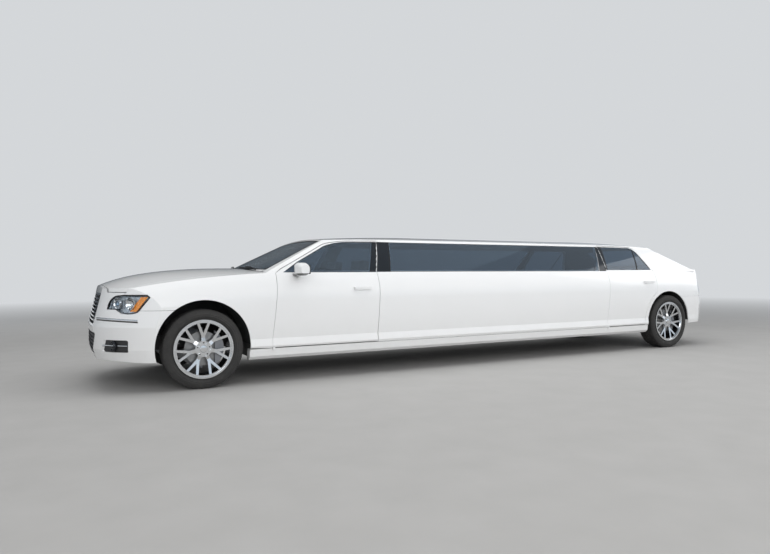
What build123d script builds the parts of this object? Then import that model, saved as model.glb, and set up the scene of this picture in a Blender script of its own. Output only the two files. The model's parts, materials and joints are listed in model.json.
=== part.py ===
from build123d import *
import math
import os

# A stretch limousine, in millimetres. X points forward, Y to the left and Z up.
# The origin is on the ground, under the middle of the car's length and width.
# The right side is the mirror image of the left one.

os.makedirs("parts", exist_ok=True)

# Overall sizes
wheelbase = 6354
front_overhang = 915
rear_overhang = 1077
front_axle = (wheelbase + rear_overhang - front_overhang) / 2
rear_axle = front_axle - wheelbase
belt_height = 1060
belt_width = 865
panel_gap = 6
skin = 14
hood_skin = 20
side_wall_inner = 820
sill_top = 335
sill_bottom = 235
door_bottom = sill_top + 10
frame_depth = 34
glass_inset = 3
glass_thickness = 5
cut_reach = 1300

# Wheels
tyre_radius = 364
tyre_width = 245
rim_radius = 262
rim_width = 224
front_track = 1611
rear_track = 1620
front_arch = 430
rear_arch = 414
front_arch_height = 385
rear_arch_height = 372
rear_arch_shift = 20
disc_radius = 160
disc_thickness = 24
hub_radius = 74
spindle_radius = 20
pin_clearance = 0.3
kingpin_side = 760
kingpin_radius = 10
upper_joint_height = 540
lower_joint_height = 190

# Body sections. Columns: distance ahead of the front axle, belly height, then the width
# and height of the kick line, crease, waist and shoulder, and the crown height.
front_sections = [
    (-760, 338, 936, 362, 921, 430, 930, 780, 865, 1060, 1112),
    (-640, 338, 936, 362, 921, 430, 930, 780, 865, 1060, 1112),
    (-200, 338, 938, 362, 930, 430, 936, 780, 862, 1034, 1112),
    (80, 300, 938, 362, 934, 430, 940, 772, 852, 1006, 1100),
    (560, 272, 938, 362, 936, 430, 940, 742, 792, 936, 1036),
    (950, 272, 938, 362, 936, 430, 930, 700, 650, 848, 880),
]
# The same columns, counted from the rear axle.
rear_sections = [
    (900, 338, 936, 362, 921, 430, 930, 780, 865, 1060, 1112),
    (780, 338, 936, 362, 921, 430, 930, 780, 865, 1060, 1112),
    (300, 338, 938, 364, 930, 430, 936, 785, 862, 1075, 1125),
    (-300, 330, 938, 372, 934, 440, 938, 785, 850, 1090, 1134),
    (-700, 340, 930, 390, 930, 450, 930, 785, 820, 1085, 1126),
    (-1100, 350, 900, 400, 900, 450, 900, 780, 760, 1040, 1082),
]
# Plan outlines of the two ends. Columns: height and reach beyond the axle at the centre.
nose_levels = [(180, 850), (380, front_overhang), (580, front_overhang), (920, 833), (1300, 690)]
tail_levels = [(180, 1000), (420, 1055), (600, rear_overhang), (760, 1062), (1300, 900)]
# Columns: bow of the middle arc, its half width, then the turn and side points of the corner,
# each as a set-back and a width.
nose_corner = (15, 450, 271, 820, 620, 971)
tail_corner = (27, 450, 230, 790, 620, 985)

# Cabin sections. Columns: distance ahead of the axle, rail width, rail height, crown height.
front_cabin = [
    (-380, 702, 1288, 1345),
    (-1290, 668, 1372, 1436),
    (-2350, 660, 1390, 1480),
    (-2700, 660, 1390, 1480),
]
rear_cabin = [(1400, 660, 1390, 1480), (900, 660, 1390, 1480), (200, 652, 1376, 1438), (-650, 640, 1288, 1330)]
cabin_base = (868, 1050)
cabin_bulge = 10
rail_turn = (45, 35)
# Rake of the two end glasses. Columns: height, reach ahead of the axle, sweep at the side.
windshield_levels = [(1000, -298, 235), (1500, -1441, 100)]
rear_glass_levels = [(1000, -911, 170), (1500, 295, 80)]


def body_section(row, inset):
    """Draw one closed section across the body, made smaller by the inset but open at the belly."""
    x, belly, kick_y, kick_z, crease_y, crease_z, waist_y, waist_z, shoulder_y, shoulder_z, crown = row
    low = belly - (5 if inset else 0)
    side = [
        (kick_y - inset - 8, low),
        (kick_y - inset, kick_z),
        (crease_y - inset, crease_z),
        (waist_y - inset, waist_z),
        (shoulder_y - inset, shoulder_z - inset),
    ]
    bulges = [0, 0, 4, 18]
    for way in (1, -1):
        for (start, end, bulge) in zip(side, side[1:], bulges):
            a = (way * start[0], start[1])
            b = (way * end[0], end[1])
            if bulge:
                SagittaArc(a, b, -way * bulge)
            else:
                Line(a, b)
    Line((-side[0][0], low), (side[0][0], low))
    ThreePointArc((side[-1][0], side[-1][1]), (0, crown - inset), (-side[-1][0], side[-1][1]))


def end_outline(reach, corner, inset, back, way):
    """Draw the plan outline of the nose (way 1) or tail (way -1), back to a straight edge."""
    bow, half, turn_x, turn_y, side_x, side_y = corner
    tip = reach - inset
    corner_in = 0.7 * inset
    middle = (way * (tip - bow), half - 0.25 * inset)
    turn = (way * (reach - turn_x - corner_in), turn_y - corner_in)
    side = (way * (reach - side_x - 0.3 * inset), side_y - inset)
    ThreePointArc((middle[0], -middle[1]), (way * tip, 0), middle)
    for up in (1, -1):
        ThreePointArc((middle[0], up * middle[1]), (turn[0], up * turn[1]), (side[0], up * side[1]))
        Line((side[0], up * side[1]), (way * back, up * side[1]))
    Line((way * back, side[1]), (way * back, -side[1]))


def front_hull(inset):
    """The outer form of the body ahead of the doors, made smaller by the inset."""
    with BuildPart() as nose_block:
        for height, reach in nose_levels:
            with BuildSketch(Plane.XY.offset(height)):
                with BuildLine():
                    end_outline(reach, nose_corner, inset, -900, 1)
                make_face()
        loft(ruled=True)
    with BuildPart() as front:
        for row in front_sections:
            with BuildSketch(Plane.YZ.offset(row[0])):
                with BuildLine():
                    body_section(row, inset)
                make_face()
        loft()
        add(nose_block.part, mode=Mode.INTERSECT)
    return front.part.moved(Location((front_axle, 0, 0)))


def rear_hull(inset):
    """The outer form of the body behind the doors, made smaller by the inset."""
    with BuildPart() as tail_block:
        for height, reach in tail_levels:
            with BuildSketch(Plane.XY.offset(height)):
                with BuildLine():
                    end_outline(reach, tail_corner, inset, -1000, -1)
                make_face()
        loft(ruled=True)
    with BuildPart() as rear:
        for row in rear_sections:
            with BuildSketch(Plane.YZ.offset(row[0])):
                with BuildLine():
                    body_section(row, inset)
                make_face()
        loft()
        add(tail_block.part, mode=Mode.INTERSECT)
    return rear.part.moved(Location((rear_axle, 0, 0)))


def cabin_section(row, inset):
    """Draw one closed section across the cabin above the belt."""
    x, rail_y, rail_z, crown = row
    base = (cabin_base[0] - inset * 1.15, cabin_base[1] - (5 if inset else 0))
    rail = (rail_y - inset, rail_z - 0.2 * inset)
    top = (rail_y - rail_turn[0] - 0.4 * inset, rail_z + rail_turn[1] - 0.9 * inset)
    middle = ((rail[0] + top[0]) / 2 + 8, (rail[1] + top[1]) / 2 + 8)
    Line((-base[0], base[1]), base)
    for way in (1, -1):
        SagittaArc((way * base[0], base[1]), (way * rail[0], rail[1]), -way * cabin_bulge)
        ThreePointArc((way * rail[0], rail[1]), (way * middle[0], middle[1]), (way * top[0], top[1]))
    ThreePointArc(top, (0, crown - inset), (-top[0], top[1]))


def rake_outline(reach, sweep, inset, back, way):
    """Draw the plan outline of a raked, swept end glass at one height."""
    half = 1000
    tip = reach - way * 2.4 * inset
    ThreePointArc((tip - way * sweep, -half), (tip, 0), (tip - way * sweep, half))
    Line((tip - way * sweep, half), (back, half))
    Line((back, half), (back, -half))
    Line((back, -half), (tip - way * sweep, -half))


def cabin_hull(inset):
    """The outer form of the cabin above the belt, made smaller by the inset."""
    with BuildPart() as screen_block:
        for height, reach, sweep in windshield_levels:
            with BuildSketch(Plane.XY.offset(height)):
                with BuildLine():
                    rake_outline(reach, sweep, inset, -3000, 1)
                make_face()
        loft(ruled=True)
    with BuildPart() as back_block:
        for height, reach, sweep in rear_glass_levels:
            with BuildSketch(Plane.XY.offset(height)):
                with BuildLine():
                    rake_outline(reach, sweep, inset, 1700, -1)
                make_face()
        loft(ruled=True)
    with BuildPart() as front:
        for row in front_cabin:
            with BuildSketch(Plane.YZ.offset(row[0])):
                with BuildLine():
                    cabin_section(row, inset)
                make_face()
        loft()
        add(screen_block.part, mode=Mode.INTERSECT)
    with BuildPart() as rear:
        for row in rear_cabin:
            with BuildSketch(Plane.YZ.offset(row[0])):
                with BuildLine():
                    cabin_section(row, inset)
                make_face()
        loft()
        add(back_block.part, mode=Mode.INTERSECT)
    middle_front = front_axle + front_cabin[-1][0]
    middle_rear = rear_axle + rear_cabin[0][0]
    with BuildPart() as cabin:
        with BuildSketch(Plane.YZ.offset(middle_rear)):
            with BuildLine():
                cabin_section(front_cabin[-1], inset)
            make_face()
        extrude(amount=middle_front - middle_rear)
        add(front.part.moved(Location((front_axle, 0, 0))))
        add(rear.part.moved(Location((rear_axle, 0, 0))))
    return cabin.part


def slab(outline, plane, reach, lean=None):
    """A cutter: a closed side, front or top outline carried both ways from its plane."""
    with BuildPart() as cutter:
        with BuildSketch(plane):
            with BuildLine():
                outline()
            make_face()
        if lean:
            extrude(amount=reach * math.hypot(lean, 1), dir=(lean, -1, 0), both=True)
        else:
            extrude(amount=reach, both=True)
    return cutter.part


def block(low, high):
    """A plain box between two corners."""
    with BuildPart() as box:
        with Locations(Location([(a + b) / 2 for a, b in zip(low, high)])):
            Box(*[b - a for a, b in zip(low, high)])
    return box.part


def both_sides(part):
    """A part of the left side together with its mirror image."""
    with BuildPart() as pair:
        add(part)
        mirror(about=Plane.XZ)
    return pair.part


def save(part, name):
    """Label a finished piece and write it."""
    part.label = name
    export_step(part, "parts/" + name + ".step")


# The body's outer form and its insets
front_form = front_hull(0)
rear_form = rear_hull(0)
front_inside = front_hull(skin)
rear_inside = rear_hull(skin)
hood_inside = front_hull(hood_skin)
lid_inside = rear_hull(hood_skin)
cabin_form = cabin_hull(0)
cabin_inside = cabin_hull(frame_depth)
glass_outside = cabin_hull(glass_inset)
glass_inside = cabin_hull(glass_inset + glass_thickness)

with BuildPart() as flank_form:
    middle_front = front_axle + front_sections[0][0]
    middle_rear = rear_axle + rear_sections[0][0]
    with BuildSketch(Plane.YZ.offset(middle_rear)):
        with BuildLine():
            body_section(front_sections[0], 0)
        make_face()
    extrude(amount=middle_front - middle_rear)
    add(front_form)
    add(rear_form)

# Door outlines, drawn in the plane of the hinges. Each lean is the inward step of the cut, so that
# the rear edge clears its pillar as the door swings. Distances count from the front axle.
hinge_side = 934
hinge_setback = 6
front_door_lean = 0.28
rear_door_lean = 0.40
front_door_edge = front_axle - 642
rear_door_edge = front_axle - 5151
door_top = 1404
glass_top = 1382
frame_side = 622
arch_lip = 55


def front_door_outline(grow=0, foot=door_bottom):
    """The front door from the side, grown by the panel gap for the parts round it."""
    g = grow
    low_front = (front_door_edge + g, foot)
    belt_front = (front_axle - 719 + g, belt_height - 2)
    sail = (front_axle - 784 + g, 1097 + g)
    pillar_low = (front_axle - 980 + 0.45 * g, 1190 + 0.9 * g)
    pillar_high = (front_axle - 1330 + 0.4 * g, 1354 + 0.9 * g)
    bend = (front_axle - 1490, door_top - 19 + g)
    top_front = (front_axle - 1680, door_top - 8 + g)
    top_rear = (front_axle - 1987 - g, door_top + g)
    belt_rear = (front_axle - 1822 - g, belt_height + 2)
    low_rear = (front_axle - 1778 - g, foot)
    Polyline(low_front, belt_front, sail, pillar_low, pillar_high)
    ThreePointArc(pillar_high, bend, top_front)
    Polyline(top_front, top_rear, belt_rear, low_rear, low_front)


def rear_door_outline(grow=0, foot=door_bottom):
    """The rear door from the side, cut back round the wheel arch."""
    g = grow
    centre = (rear_axle + rear_arch_shift, rear_arch_height)
    lip = rear_arch + arch_lip - g

    def on_lip(angle):
        a = math.radians(angle)
        return (centre[0] + lip * math.cos(a), centre[1] + lip * math.sin(a))

    low_front = (rear_door_edge + g, foot)
    belt_front = (front_axle - 5232 + g, belt_height - 20)
    top_front = (front_axle - 5354 + g, door_top + g)
    top_rear = (front_axle - 5985 - 0.5 * g, door_top - 8 + g)
    shoulder = (front_axle - 6048 - g, door_top - 34 + 0.5 * g)
    tip = (front_axle - 6125 - g, 1112)
    belt_rear = (front_axle - 6118 - g, belt_height - 60)
    Polyline(low_front, belt_front, top_front, top_rear, shoulder, tip, belt_rear, on_lip(60))
    ThreePointArc(on_lip(60), on_lip(30), on_lip(0))
    Polyline(on_lip(0), (on_lip(0)[0], foot), low_front)


hinge_plane = Plane.XZ.offset(-hinge_side)
front_door_cut = slab(front_door_outline, hinge_plane, hinge_side - frame_side, front_door_lean)
rear_door_cut = slab(rear_door_outline, hinge_plane, hinge_side - frame_side, rear_door_lean)
room_foot = sill_top - 20
front_door_room = slab(
    lambda: front_door_outline(panel_gap, room_foot), hinge_plane, hinge_side - frame_side + 5, front_door_lean
)
rear_door_room = slab(
    lambda: rear_door_outline(panel_gap, room_foot), hinge_plane, hinge_side - frame_side + 5, rear_door_lean
)


# Side windows, drawn straight from the side
def front_glass_outline(grow=0, rear_foot=-1729, rear_top=-1848):
    """The hole of the front door's window, or its pane when the rear edge is carried back."""
    g = grow
    foot = (front_axle - 800 + 2 * g, 1078 - g)
    low = (front_axle - 953 + 0.5 * g, 1162 + g)
    high = (front_axle - 1275 + 0.4 * g, 1327 + g)
    bend = (front_axle - 1410, glass_top - 19 + g)
    top = (front_axle - 1570, glass_top - 6 + g)
    top_rear = (front_axle + rear_top, glass_top + g)
    foot_rear = (front_axle + rear_foot, 1078 - g)
    Polyline(foot, low, high)
    ThreePointArc(high, bend, top)
    Polyline(top, top_rear, foot_rear, foot)


def rear_glass_outline(grow=0, front_foot=-5237, front_top=-5306):
    """The hole of the rear door's window, or its pane when the front edge is carried forward."""
    g = grow
    foot = (front_axle + front_foot, 1094 - g)
    top = (front_axle + front_top, glass_top + g)
    top_rear = (front_axle - 5820, glass_top - 6 + g)
    bend = (front_axle - 5930 - 0.5 * g, glass_top - 42 + 0.7 * g)
    tip = (front_axle - 6051 - 2 * g, 1094 - g)
    high = (front_axle - 5962 - g, 1290)
    Polyline(foot, top, top_rear)
    ThreePointArc(top_rear, bend, high)
    Polyline(high, tip, foot)


def stretch_glass_outline(grow=0):
    g = grow
    Polyline(
        (front_axle - 1985 + g, 1080 - g),
        (front_axle - 2065 + g, glass_top + g),
        (front_axle - 5190 - g, glass_top + g),
        (front_axle - 5065 - g, 1080 - g),
        close=True,
    )


def end_glass_outline(foot, foot_rise, top, top_rise, grow):
    """The windshield or rear window, drawn in the plane of its slope, with the foot of its pane."""
    low = (foot[0] + grow, foot[1] + glass_edge - grow)
    high = (top[0] + grow, top[1] + grow)
    ThreePointArc((-low[0], low[1]), (0, low[1] - foot_rise), low)
    Line(low, high)
    ThreePointArc(high, (0, high[1] + top_rise), (-high[0], high[1]))
    Line((-high[0], high[1]), (-low[0], low[1]))


def slope_plane(axle, levels, height, across):
    """The plane of an end glass on the car's centre line, with its origin at one height."""
    (low_height, low_reach, _), (high_height, high_reach, _) = levels
    run = high_reach - low_reach
    rise = high_height - low_height
    foot = axle + low_reach + run * (height - low_height) / rise
    return Plane(origin=(foot, 0, height), x_dir=(0, across, 0), z_dir=(across * rise, 0, -across * run))


side_plane = Plane.XZ
glass_edge = 12
seat_gap = 2
front_glass_hole = slab(front_glass_outline, side_plane, cut_reach)
rear_glass_hole = slab(rear_glass_outline, side_plane, cut_reach)
stretch_glass_hole = slab(stretch_glass_outline, side_plane, cut_reach)
windshield_plane = slope_plane(front_axle, windshield_levels, 1075, 1)
rear_window_plane = slope_plane(rear_axle, rear_glass_levels, 1148, -1)
end_glass_reach = 120


def windshield_prism(grow):
    outline = lambda: end_glass_outline((750, 150), 77, (600, 832), 26, grow)
    return slab(outline, windshield_plane, end_glass_reach)


def rear_window_prism(grow):
    outline = lambda: end_glass_outline((700, 64), 64, (560, 645), 34, grow)
    return slab(outline, rear_window_plane, end_glass_reach)


front_glass_blank = slab(lambda: front_glass_outline(glass_edge, -1797, -1899), side_plane, cut_reach)
rear_glass_blank = slab(lambda: rear_glass_outline(glass_edge, -5217, -5249), side_plane, cut_reach)
front_glass_seat = slab(
    lambda: front_glass_outline(glass_edge + seat_gap, -1797 - seat_gap, -1899 - seat_gap),
    side_plane, cut_reach
)
rear_glass_seat = slab(
    lambda: rear_glass_outline(glass_edge + seat_gap, -5217 + seat_gap, -5249 + seat_gap),
    side_plane, cut_reach
)
stretch_glass_blank = slab(lambda: stretch_glass_outline(glass_edge), side_plane, cut_reach)
windshield_blank = windshield_prism(glass_edge)
rear_window_blank = rear_window_prism(glass_edge)


def pillar_cover_outline(front_low, front_high, rear_low, rear_high, grow=0):
    """A dark cover on a fixed pillar, from the side."""
    g = grow
    Polyline(
        (front_axle + front_low + g, 1068 - g),
        (front_axle + front_high + g, glass_top + glass_edge + g),
        (front_axle + rear_high - g, glass_top + glass_edge + g),
        (front_axle + rear_low - g, 1068 - g),
        close=True,
    )


cover_rows = [(-1800, -1894, -1972, -2052), (-5081, -5206, -5225, -5255)]
with BuildPart() as pillar_cover_blank:
    for cover_row in cover_rows:
        add(slab(lambda: pillar_cover_outline(*cover_row), side_plane, cut_reach))
with BuildPart() as pillar_cover_seat:
    for cover_row in cover_rows:
        add(slab(lambda: pillar_cover_outline(*cover_row, seat_gap), side_plane, cut_reach))

# Hood, cowl and trunk outlines in plan
hood_front_gap = 8
hood_rear_gap = 10
cowl_edge = 440

# Lid and hood hinges: an eye on the moving panel between two lugs that hold its pin.
# Columns: distance ahead of the front axle, height, middle of the eye across the car.
hood_hinge = (front_axle - 600, 1064, 730)
lid_hinge = (rear_axle - 612, 1104, 450)
hinge_pin = 3
hinge_eye = 7
hinge_eye_width = 8
hinge_slot = 16
hinge_lug_width = 12


def hinge_round(hinge, radius, side, width):
    """A round across the car at a hinge, from one side outwards."""
    with BuildPart() as round_bar:
        with BuildSketch(Plane.XZ.offset(-side)):
            with Locations(hinge[:2]):
                Circle(radius)
        extrude(amount=-width)
    return round_bar.part


def hinge_lugs(hinge):
    """The two fixed lugs of a hinge with the pin between them."""
    inner = hinge[2] - hinge_slot / 2 - hinge_lug_width
    with BuildPart() as lugs:
        add(hinge_round(hinge, hinge_eye, inner, hinge_lug_width))
        add(hinge_round(hinge, hinge_eye, hinge[2] + hinge_slot / 2, hinge_lug_width))
        add(hinge_round(hinge, hinge_pin, inner, 2 * hinge_lug_width + hinge_slot))
    return lugs.part


def hinge_ear(hinge, reach):
    """The moving eye of a hinge and the short arm that joins it to its panel."""
    start = hinge[2] - hinge_eye_width / 2
    low, high = sorted((hinge[0], hinge[0] + reach))
    with BuildPart() as ear:
        add(hinge_round(hinge, hinge_eye, start, hinge_eye_width))
        add(block((low, start, hinge[1] - 3), (high, start + hinge_eye_width, hinge[1] + 4)))
        add(hinge_round(hinge, hinge_pin + pin_clearance, start, hinge_eye_width), mode=Mode.SUBTRACT)
    return ear.part


def hood_outline(grow=0, front=0, back=0):
    nose = (front_axle + 805 + front, 0)
    nose_side = (front_axle + 768 + front, 600 + grow)
    corner = (front_axle + 655 + front, 750 + grow)
    mid_side = (front_axle + 60, 784 + grow)
    rear_side = (front_axle - 596 - back, 790 + grow)
    rear = (front_axle - cowl_edge - back, 0)
    ThreePointArc((nose_side[0], -nose_side[1]), nose, nose_side)
    for way in (1, -1):
        Line((nose_side[0], way * nose_side[1]), (corner[0], way * corner[1]))
        ThreePointArc(
            (corner[0], way * corner[1]), (mid_side[0], way * mid_side[1]), (rear_side[0], way * rear_side[1])
        )
    ThreePointArc(rear_side, rear, (rear_side[0], -rear_side[1]))


def lid_outline(grow=0, front=0):
    """The trunk lid from above, open past the tail."""
    head = (rear_axle - 600 + front, 640 + grow)
    side = (rear_axle - 760, 690 + grow)
    tail = rear_axle - rear_overhang - 60
    ThreePointArc((head[0], -head[1]), (head[0] - 62, 0), head)
    for way in (1, -1):
        Polyline((head[0], way * head[1]), (side[0], way * side[1]), (tail, way * side[1]))
    Line((tail, side[1]), (tail, -side[1]))


lid_front_gap = 16
lid_step = 985
rear_bumper_seam = 712
lid_foot = rear_bumper_seam + 3
lid_half = 520
hood_foot = 895
hood_cut = slab(hood_outline, Plane.XY.offset(hood_foot + 300), 300)
hood_room = slab(
    lambda: hood_outline(panel_gap, hood_front_gap, hood_rear_gap),
    Plane.XY.offset(hood_foot + 300 - panel_gap),
    300,
)
lid_tail = rear_axle - rear_overhang - 60
lid_face_front = rear_axle - 800
with BuildPart() as lid_cut:
    add(slab(lid_outline, Plane.XY.offset(1185), 200))
    add(block((lid_tail, -lid_half, lid_foot), (lid_face_front, lid_half, lid_step + 60)))
with BuildPart() as lid_room:
    add(slab(lambda: lid_outline(panel_gap, lid_front_gap), Plane.XY.offset(1185 - panel_gap), 200))
    add(
        block(
            (lid_tail, -lid_half - panel_gap, lid_foot - panel_gap),
            (lid_face_front + panel_gap, lid_half + panel_gap, lid_step + 60),
        )
    )

# Lamps. The head lamp is drawn square to the corner of the nose: across it, then height.
lamp_gap = 3
lamp_depth = 70
lamp_flange = 8
lamp_plane = Plane(
    origin=(front_axle + 660, 720, 0), x_dir=(-1, 1, 0), z_dir=(1, 1, 0)
)


def head_lamp_outline(grow=0):
    g = grow
    Polyline((-60, 741 - g), (-170 - g, 741 - g), (-162 - g, 782))
    ThreePointArc((-162 - g, 782), (-128 - 0.7 * g, 832 + 0.7 * g), (-70, 861 + g))
    Polyline((-70, 861 + g), (20, 868 + g), (240 + g, 868 + g), (269 + g, 846), (170 + g, 716 - g))
    ThreePointArc((170 + g, 716 - g), (84, 700 - g), (0, 711 - g))
    Line((0, 711 - g), (-60, 741 - g))


head_lamp_cut = slab(head_lamp_outline, lamp_plane, 330)
head_lamp_room = slab(lambda: head_lamp_outline(lamp_gap), lamp_plane, 340)
tail_lamp_low = (rear_axle - rear_overhang - 40, lid_half + panel_gap, 742)
tail_lamp_high = (rear_axle - 812, 1000, 952)


def tail_lamp_block(grow):
    """The tail lamp's box, grown inboard, forward, up and down."""
    return block(
        (tail_lamp_low[0], tail_lamp_low[1] - grow, tail_lamp_low[2] - grow),
        (tail_lamp_high[0] + grow, tail_lamp_high[1], tail_lamp_high[2] + grow),
    )


tail_lamp_cut = tail_lamp_block(0)
tail_lamp_room = tail_lamp_block(lamp_gap)

# Front panels
seam = 3
bumper_seam = 730
front_arch_edge = front_axle + front_arch
front_arch_centre = (front_axle, front_arch_height)
rear_arch_centre = (rear_axle + rear_arch_shift, rear_arch_height)
header_half = 600
nose_end = front_axle + front_overhang + 50
tail_end = rear_axle - rear_overhang - 50
roof_above = 1600


def wheel_hole(centre, radius, inner, outer):
    """A round cutter across the body at a wheel arch, between two widths."""
    with BuildPart() as hole:
        with BuildSketch(Plane.XZ.offset(-inner)):
            with Locations(centre):
                Circle(radius)
        extrude(amount=inner - outer)
    return hole.part


with BuildPart() as front_flange_band:
    add(front_inside)
    add(front_hull(skin + lamp_flange), mode=Mode.SUBTRACT)
with BuildPart() as rear_flange_band:
    add(rear_inside)
    add(rear_hull(skin + lamp_flange), mode=Mode.SUBTRACT)
front_arch_cut = both_sides(wheel_hole(front_arch_centre, front_arch, 600, 1000))
rear_arch_cut = both_sides(wheel_hole(rear_arch_centre, rear_arch, 600, 1000))

with BuildPart() as front_skin:
    add(front_form)
    add(front_inside, mode=Mode.SUBTRACT)
with BuildPart() as rear_skin:
    add(rear_form)
    add(rear_inside, mode=Mode.SUBTRACT)
with BuildPart() as cabin_shell:
    add(cabin_form)
    add(cabin_inside, mode=Mode.SUBTRACT)
above_belt = block((-5000, -1000, belt_height), (5000, 1000, roof_above))
with BuildPart() as rebate_shell:
    add(cabin_form)
    add(glass_inside, mode=Mode.SUBTRACT)
    add(above_belt, mode=Mode.INTERSECT)
with BuildPart() as glass_shell:
    add(glass_outside)
    add(glass_inside, mode=Mode.SUBTRACT)
    add(above_belt, mode=Mode.INTERSECT)


def glass_seat(room):
    """The rebate that a flush pane lies in."""
    with BuildPart() as rebate:
        add(rebate_shell.part)
        add(room, mode=Mode.INTERSECT)
    return rebate.part


def pane(blank):
    """A curved pane, flush in its rebate."""
    with BuildPart() as sheet:
        add(glass_shell.part)
        add(blank, mode=Mode.INTERSECT)
    return sheet.part


lamp_split = front_axle + 650
fender_rear = front_axle + front_sections[0][0]
fender_inner = 800
with BuildPart() as fender_zone:
    add(block((fender_rear, fender_inner, sill_top), (front_axle, 1000, 1100)))
    add(block((front_axle - 430, 600, bumper_seam), (lamp_split, 1000, 1150)))
with BuildPart() as front_fender:
    add(front_skin.part)
    add(fender_zone.part, mode=Mode.INTERSECT)
    add(hood_room, mode=Mode.SUBTRACT)
    add(front_door_room, mode=Mode.SUBTRACT)
    add(front_arch_cut, mode=Mode.SUBTRACT)
    add(head_lamp_room, mode=Mode.SUBTRACT)
front_fenders = both_sides(front_fender.part)
save(front_fenders, "front_fenders")

with BuildPart() as hood:
    add(front_form)
    add(hood_inside, mode=Mode.SUBTRACT)
    add(hood_cut, mode=Mode.INTERSECT)
    add(both_sides(hinge_ear(hood_hinge, 34)))
save(hood.part, "hood")

# Front bumper cover with its grille, intake and fog lamp openings
grille_low = 578
grille_high = 884
grille_half_low = 424
grille_half_high = 452
intake_low = 330
intake_high = 528
intake_half = 500
fog_inner = 600
fog_outer = 826
fog_low = 361
fog_high = 470


def grille_outline(grow=0):
    g = grow
    FilletPolyline(
        (-grille_half_low - g, grille_low - g),
        (grille_half_low + g, grille_low - g),
        (grille_half_high + g, grille_high + g),
        (-grille_half_high - g, grille_high + g),
        radius=24 + g,
        close=True,
    )


def intake_outline(grow=0):
    g = grow
    FilletPolyline(
        (-intake_half + 60 - g, intake_low - g),
        (intake_half - 60 + g, intake_low - g),
        (intake_half + g, intake_high + g),
        (-intake_half - g, intake_high + g),
        radius=20 + g,
        close=True,
    )


def fog_outline(grow=0):
    g = grow
    FilletPolyline(
        (fog_inner - g, fog_low - g),
        (fog_outer + g, fog_low - g),
        (fog_outer + g, fog_high + g),
        (fog_inner + 30 - g, fog_high + g),
        radius=14 + g,
        close=True,
    )


nose_plane = Plane.YZ.offset(front_axle + 760)
fog_plane = Plane.YZ.offset(front_axle + 700)
grille_hole = slab(grille_outline, nose_plane, 240)
intake_hole = slab(intake_outline, nose_plane, 240)
fog_hole = slab(fog_outline, fog_plane, 240)
with BuildPart() as bumper_zone:
    add(block((front_axle, -1000, 200), (nose_end, 1000, bumper_seam - seam)))
    add(block((lamp_split + seam, -1000, bumper_seam - 60), (nose_end, 1000, 1100)))
with BuildPart() as front_bumper:
    add(front_skin.part)
    add(bumper_zone.part, mode=Mode.INTERSECT)
    add(hood_room, mode=Mode.SUBTRACT)
    add(front_arch_cut, mode=Mode.SUBTRACT)
    add(both_sides(head_lamp_room), mode=Mode.SUBTRACT)
    add(grille_hole, mode=Mode.SUBTRACT)
    add(intake_hole, mode=Mode.SUBTRACT)
    add(both_sides(fog_hole), mode=Mode.SUBTRACT)
save(front_bumper.part, "front_bumper")

# Head lamps: one clear block on each side, with a flange behind the panels round it
with BuildPart() as head_lamp_flange:
    add(front_flange_band.part)
    add(slab(lambda: head_lamp_outline(lamp_flange), lamp_plane, 335), mode=Mode.INTERSECT)
with BuildPart() as head_lamp:
    add(front_form)
    add(front_hull(lamp_depth), mode=Mode.SUBTRACT)
    add(head_lamp_cut, mode=Mode.INTERSECT)
    add(head_lamp_flange.part)
    add(hood_room, mode=Mode.SUBTRACT)
headlamps = both_sides(head_lamp.part)
save(headlamps, "headlamps")

# Grille: a chrome frame with its bars, set back in its opening
grille_depth = 26
grille_frame = 22
grille_bars = 7
grille_bar = 11
mesh_depth = 40
grille_set_back = 3
with BuildPart() as nose_band:
    add(front_form.moved(Location((-grille_set_back, 0, 0))))
    add(block((front_axle + 600, -500, 500), (nose_end, 500, 950)), mode=Mode.INTERSECT)
    add(front_form.moved(Location((-grille_set_back - grille_depth, 0, 0))), mode=Mode.SUBTRACT)
with BuildPart() as grille:
    with BuildSketch(nose_plane):
        with BuildLine():
            grille_outline(-1)
        make_face()
        with BuildLine():
            grille_outline(-grille_frame)
        make_face(mode=Mode.SUBTRACT)
    extrude(amount=240, both=True)
    pitch = (grille_high - grille_low - 2 * grille_frame) / (grille_bars + 1)
    with BuildSketch(nose_plane):
        for i in range(grille_bars):
            with Locations((0, grille_low + grille_frame + pitch * (i + 1))):
                Rectangle(2 * grille_half_high, grille_bar)
        with BuildLine():
            grille_outline(-4)
        make_face(mode=Mode.INTERSECT)
    extrude(amount=240, both=True)
    add(nose_band.part, mode=Mode.INTERSECT)
save(grille.part, "grille")

# Cowl below the windshield, with the lugs of the hood's hinges
cowl_drop = 10
cowl_depth = 24
cowl_half = fender_inner
cowl_slot_floor = hood_hinge[1] - 14
with BuildPart() as cowl_form:
    add(front_hull(cowl_drop))
    add(block(
        (front_axle - 640, -cowl_half, 800),
        (front_axle - cowl_edge, cowl_half, 1200),
    ), mode=Mode.INTERSECT)
glass_foot_room = block((front_axle - 560, -340, 1092), (front_axle - 535, 340, 1200))
with BuildPart() as cowl:
    add(cowl_form.part)
    add(cowl_form.part.moved(Location((0, 0, -cowl_depth))), mode=Mode.SUBTRACT)
    add(hood_room, mode=Mode.SUBTRACT)
    add(glass_foot_room, mode=Mode.SUBTRACT)
    with Locations((hood_hinge[0], hood_hinge[2]), (hood_hinge[0], -hood_hinge[2])):
        with Locations((0, 0, cowl_slot_floor + 50)):
            Box(60, hinge_slot, 100, mode=Mode.SUBTRACT)
    add(both_sides(hinge_lugs(hood_hinge)))
save(cowl.part, "cowl")

# Doors: the whole door below the belt and a window frame above it
frame_foot = belt_height - 4
hinge_pin_radius = 4
hinge_pin_reach = 9
handle_length = 216
handle_depth = 26
handle_root = 900
handle_reach = 948
handle_end = 16


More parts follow.
